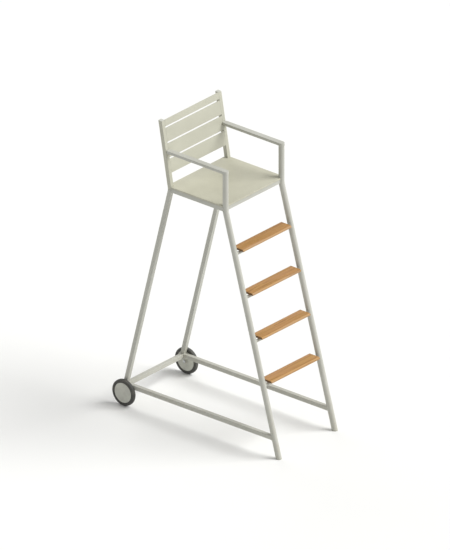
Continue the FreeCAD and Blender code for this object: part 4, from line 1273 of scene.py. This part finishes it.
class Screws(bpy.types.Operator):
    """Domed socket screws under the seat rails and the treads"""
    bl_idname = "umpire_chair.screws"
    bl_label = "Screws"

    def execute(self, context):
        sizes, at = sizes_and_places(context)
        radius = sizes.screw_head / 2
        # The side rails' undersides are level with the knees, and each takes three screws
        ys = np.linspace(low("seat_screws")[1] + radius, high("seat_screws")[1] - radius, 3)
        spots = [(side * at.rail_x, y, at.knee_z) for side in SIDES.values() for y in ys]
        piece("seat_screw_heads", self.heads(spots, sizes), "steel", ["seat_screws"])

        x = high("tread_screws")[0] - radius
        spots = []
        for number in TREADS:
            bearer = "tread_bearer_%d" % number
            for side in SIDES.values():
                for way in (-1, 1):
                    y = middle(bearer)[1] + way * sizes.screw_offset
                    spots.append((side * x, y, low(bearer)[2]))
        piece("tread_screw_heads", self.heads(spots, sizes), "steel", ["tread_screws"])
        return {"FINISHED"}

    def heads(self, spots, sizes):
        """Heads that point down: a dome whose radius is the cosine and whose height the sine of the
        turn, cut flat, with a hexagonal socket sunk into it, a little narrower at its floor."""
        dome_end = math.radians(64)
        dome_points = 6
        turn = np.linspace(0, dome_end, dome_points)
        radius = sizes.screw_head / 2
        top = sizes.screw_rise
        socket = hexagon(sizes.screw_socket)
        floor = 0.97 * socket
        floor_edge = 0.4 * top
        floor_middle = 0.35 * top
        under_eye = 1 * MM
        floor_eye = 0.3 * MM
        radii = [under_eye, *(radius * np.cos(turn)), socket, floor, floor_eye]
        heights = [0, *(top * np.sin(turn) / math.sin(dome_end)), top, floor_edge, floor_middle]
        return joined([turned(np.array(spot), -Z_AXIS, radii, heights) for spot in spots])


class CarriedNodes(bpy.types.Operator):
    """Finishes for the nodes that keep their own shape"""
    bl_idname = "umpire_chair.carried_nodes"
    bl_label = "Finish what is carried over"

    def execute(self, context):
        slots = {part["node"]: part["material_slot"] for part in frame["record"]["subparts"]}
        for name, carried in frame["nodes"].items():
            if carried.hide_render:
                continue
            finish = finish_for(FINISHES[slots[name]], context.scene.chair_colours)
            carried.data.materials.clear()
            carried.data.materials.append(finish)
        return {"FINISHED"}


class Stage(bpy.types.Operator):
    """A pale floor, soft light from the front right and from behind, and the camera"""
    bl_idname = "umpire_chair.stage"
    bl_label = "Stage"

    def execute(self, context):
        scene = context.scene
        studio = scene.chair_studio
        scene.view_settings.view_transform = "Standard"
        self.make_floor(scene)
        self.make_light(scene, "Key", (0.41, -0.57, 0.71), studio.key)
        self.make_light(scene, "Back", (0.35, 0.80, 0.50), studio.fill)
        self.make_sky(scene, studio)
        self.make_camera(scene)
        return {"FINISHED"}

    def make_floor(self, scene):
        """A square of paper, just under the feet."""
        half = 20
        drop = 0.5 * MM
        corners = half * np.array(((-1, -1, 0), (1, -1, 0), (1, 1, 0), (-1, 1, 0))) - drop * Z_AXIS
        floor = mesh_object("studio_floor", Shape(corners, [np.array([[0, 1, 2, 3]])]))
        floor.data.materials.append(studio_paper(scene.chair_colours))

    def make_light(self, scene, name, direction, strength):
        """A distant light from a direction, as wide as a large window, so that its shadows are soft."""
        width = math.radians(40)
        distance = 6
        light = bpy.data.lights.new(name, "SUN")
        light.energy = strength
        light.angle = width
        made = bpy.data.objects.new(name, light)
        made.rotation_euler = Vector(direction).to_track_quat("Z", "Y").to_euler()
        made.location = Vector(direction) * distance
        scene.collection.objects.link(made)

    def make_sky(self, scene, studio):
        """Even light from all round, with a pale backdrop where the camera looks past the floor."""
        world = bpy.data.worlds.new("Studio")
        world.use_nodes = True
        tree = world.node_tree
        tree.nodes.clear()
        white = (1, 1, 1, 1)
        sky = node(tree, "Background", {"Color": white, "Strength": studio.sky})
        backdrop = node(tree, "Background", {"Color": white, "Strength": studio.backdrop})
        seen = node(tree, "LightPath").outputs["Is Camera Ray"]
        mix = node(tree, "MixShader", links={0: seen, 1: sky.outputs[0], 2: backdrop.outputs[0]})
        node(tree, "OutputWorld", links={"Surface": mix.outputs[0]})
        scene.world = world

    def make_camera(self, scene):
        """A parallel camera: it turns and rises by the view's angles, its scale fits the picture's
        height, and it moves across the view until the floor's middle falls on its pixel."""
        right = Vector((math.cos(VIEW_TURN), -math.sin(VIEW_TURN), 0))
        back = Vector((-math.cos(VIEW_RISE) * math.sin(VIEW_TURN),
                       -math.cos(VIEW_RISE) * math.cos(VIEW_TURN), math.sin(VIEW_RISE)))
        up = back.cross(right)
        across_view = (PICTURE_WIDTH / 2 - FLOOR_MIDDLE_PIXEL[0]) / PIXELS_PER_METRE
        up_view = (FLOOR_MIDDLE_PIXEL[1] - PICTURE_HEIGHT / 2) / PIXELS_PER_METRE
        distance = 9
        camera = bpy.data.cameras.new("Camera")
        camera.type = "ORTHO"
        camera.ortho_scale = PICTURE_HEIGHT / PIXELS_PER_METRE
        made = bpy.data.objects.new("Camera", camera)
        turn = Matrix((right, up, back)).transposed().to_4x4()
        place = Matrix.Translation(right * across_view + up * up_view + back * distance)
        made.matrix_world = place @ turn
        scene.collection.objects.link(made)
        scene.camera = made


OPERATORS = (Stage, FrontLegs, Armrests, BackAndRearLegs, Slats, SeatFrame, SeatPanel, Base, Treads,
             Wheels, Screws, CarriedNodes)


class ChairPanel(bpy.types.Panel):
    """Lists the chair's pieces in the sidebar"""
    bl_idname = "VIEW3D_PT_umpire_chair"
    bl_label = "Umpire Chair"
    bl_space_type = "VIEW_3D"
    bl_region_type = "UI"
    bl_category = "Umpire Chair"

    def draw(self, context):
        for operator in OPERATORS:
            self.layout.operator(operator.bl_idname)


GROUPS = {"chair_sizes": ChairSizes, "chair_colours": ChairColours, "chair_studio": ChairStudio}


def register():
    for group in GROUPS.values():
        bpy.utils.register_class(group)
    for operator in OPERATORS:
        bpy.utils.register_class(operator)
    bpy.utils.register_class(ChairPanel)
    for name, group in GROUPS.items():
        setattr(bpy.types.Scene, name, PointerProperty(type=group))


def unregister():
    for name in GROUPS:
        delattr(bpy.types.Scene, name)
    bpy.utils.unregister_class(ChairPanel)
    for group in (*OPERATORS, *GROUPS.values()):
        bpy.utils.unregister_class(group)


def main():
    """Build everything in order."""
    register()
    for operator in OPERATORS:
        family, name = operator.bl_idname.split(".")
        getattr(getattr(bpy.ops, family), name)()


if __name__ == "__main__":
    main()
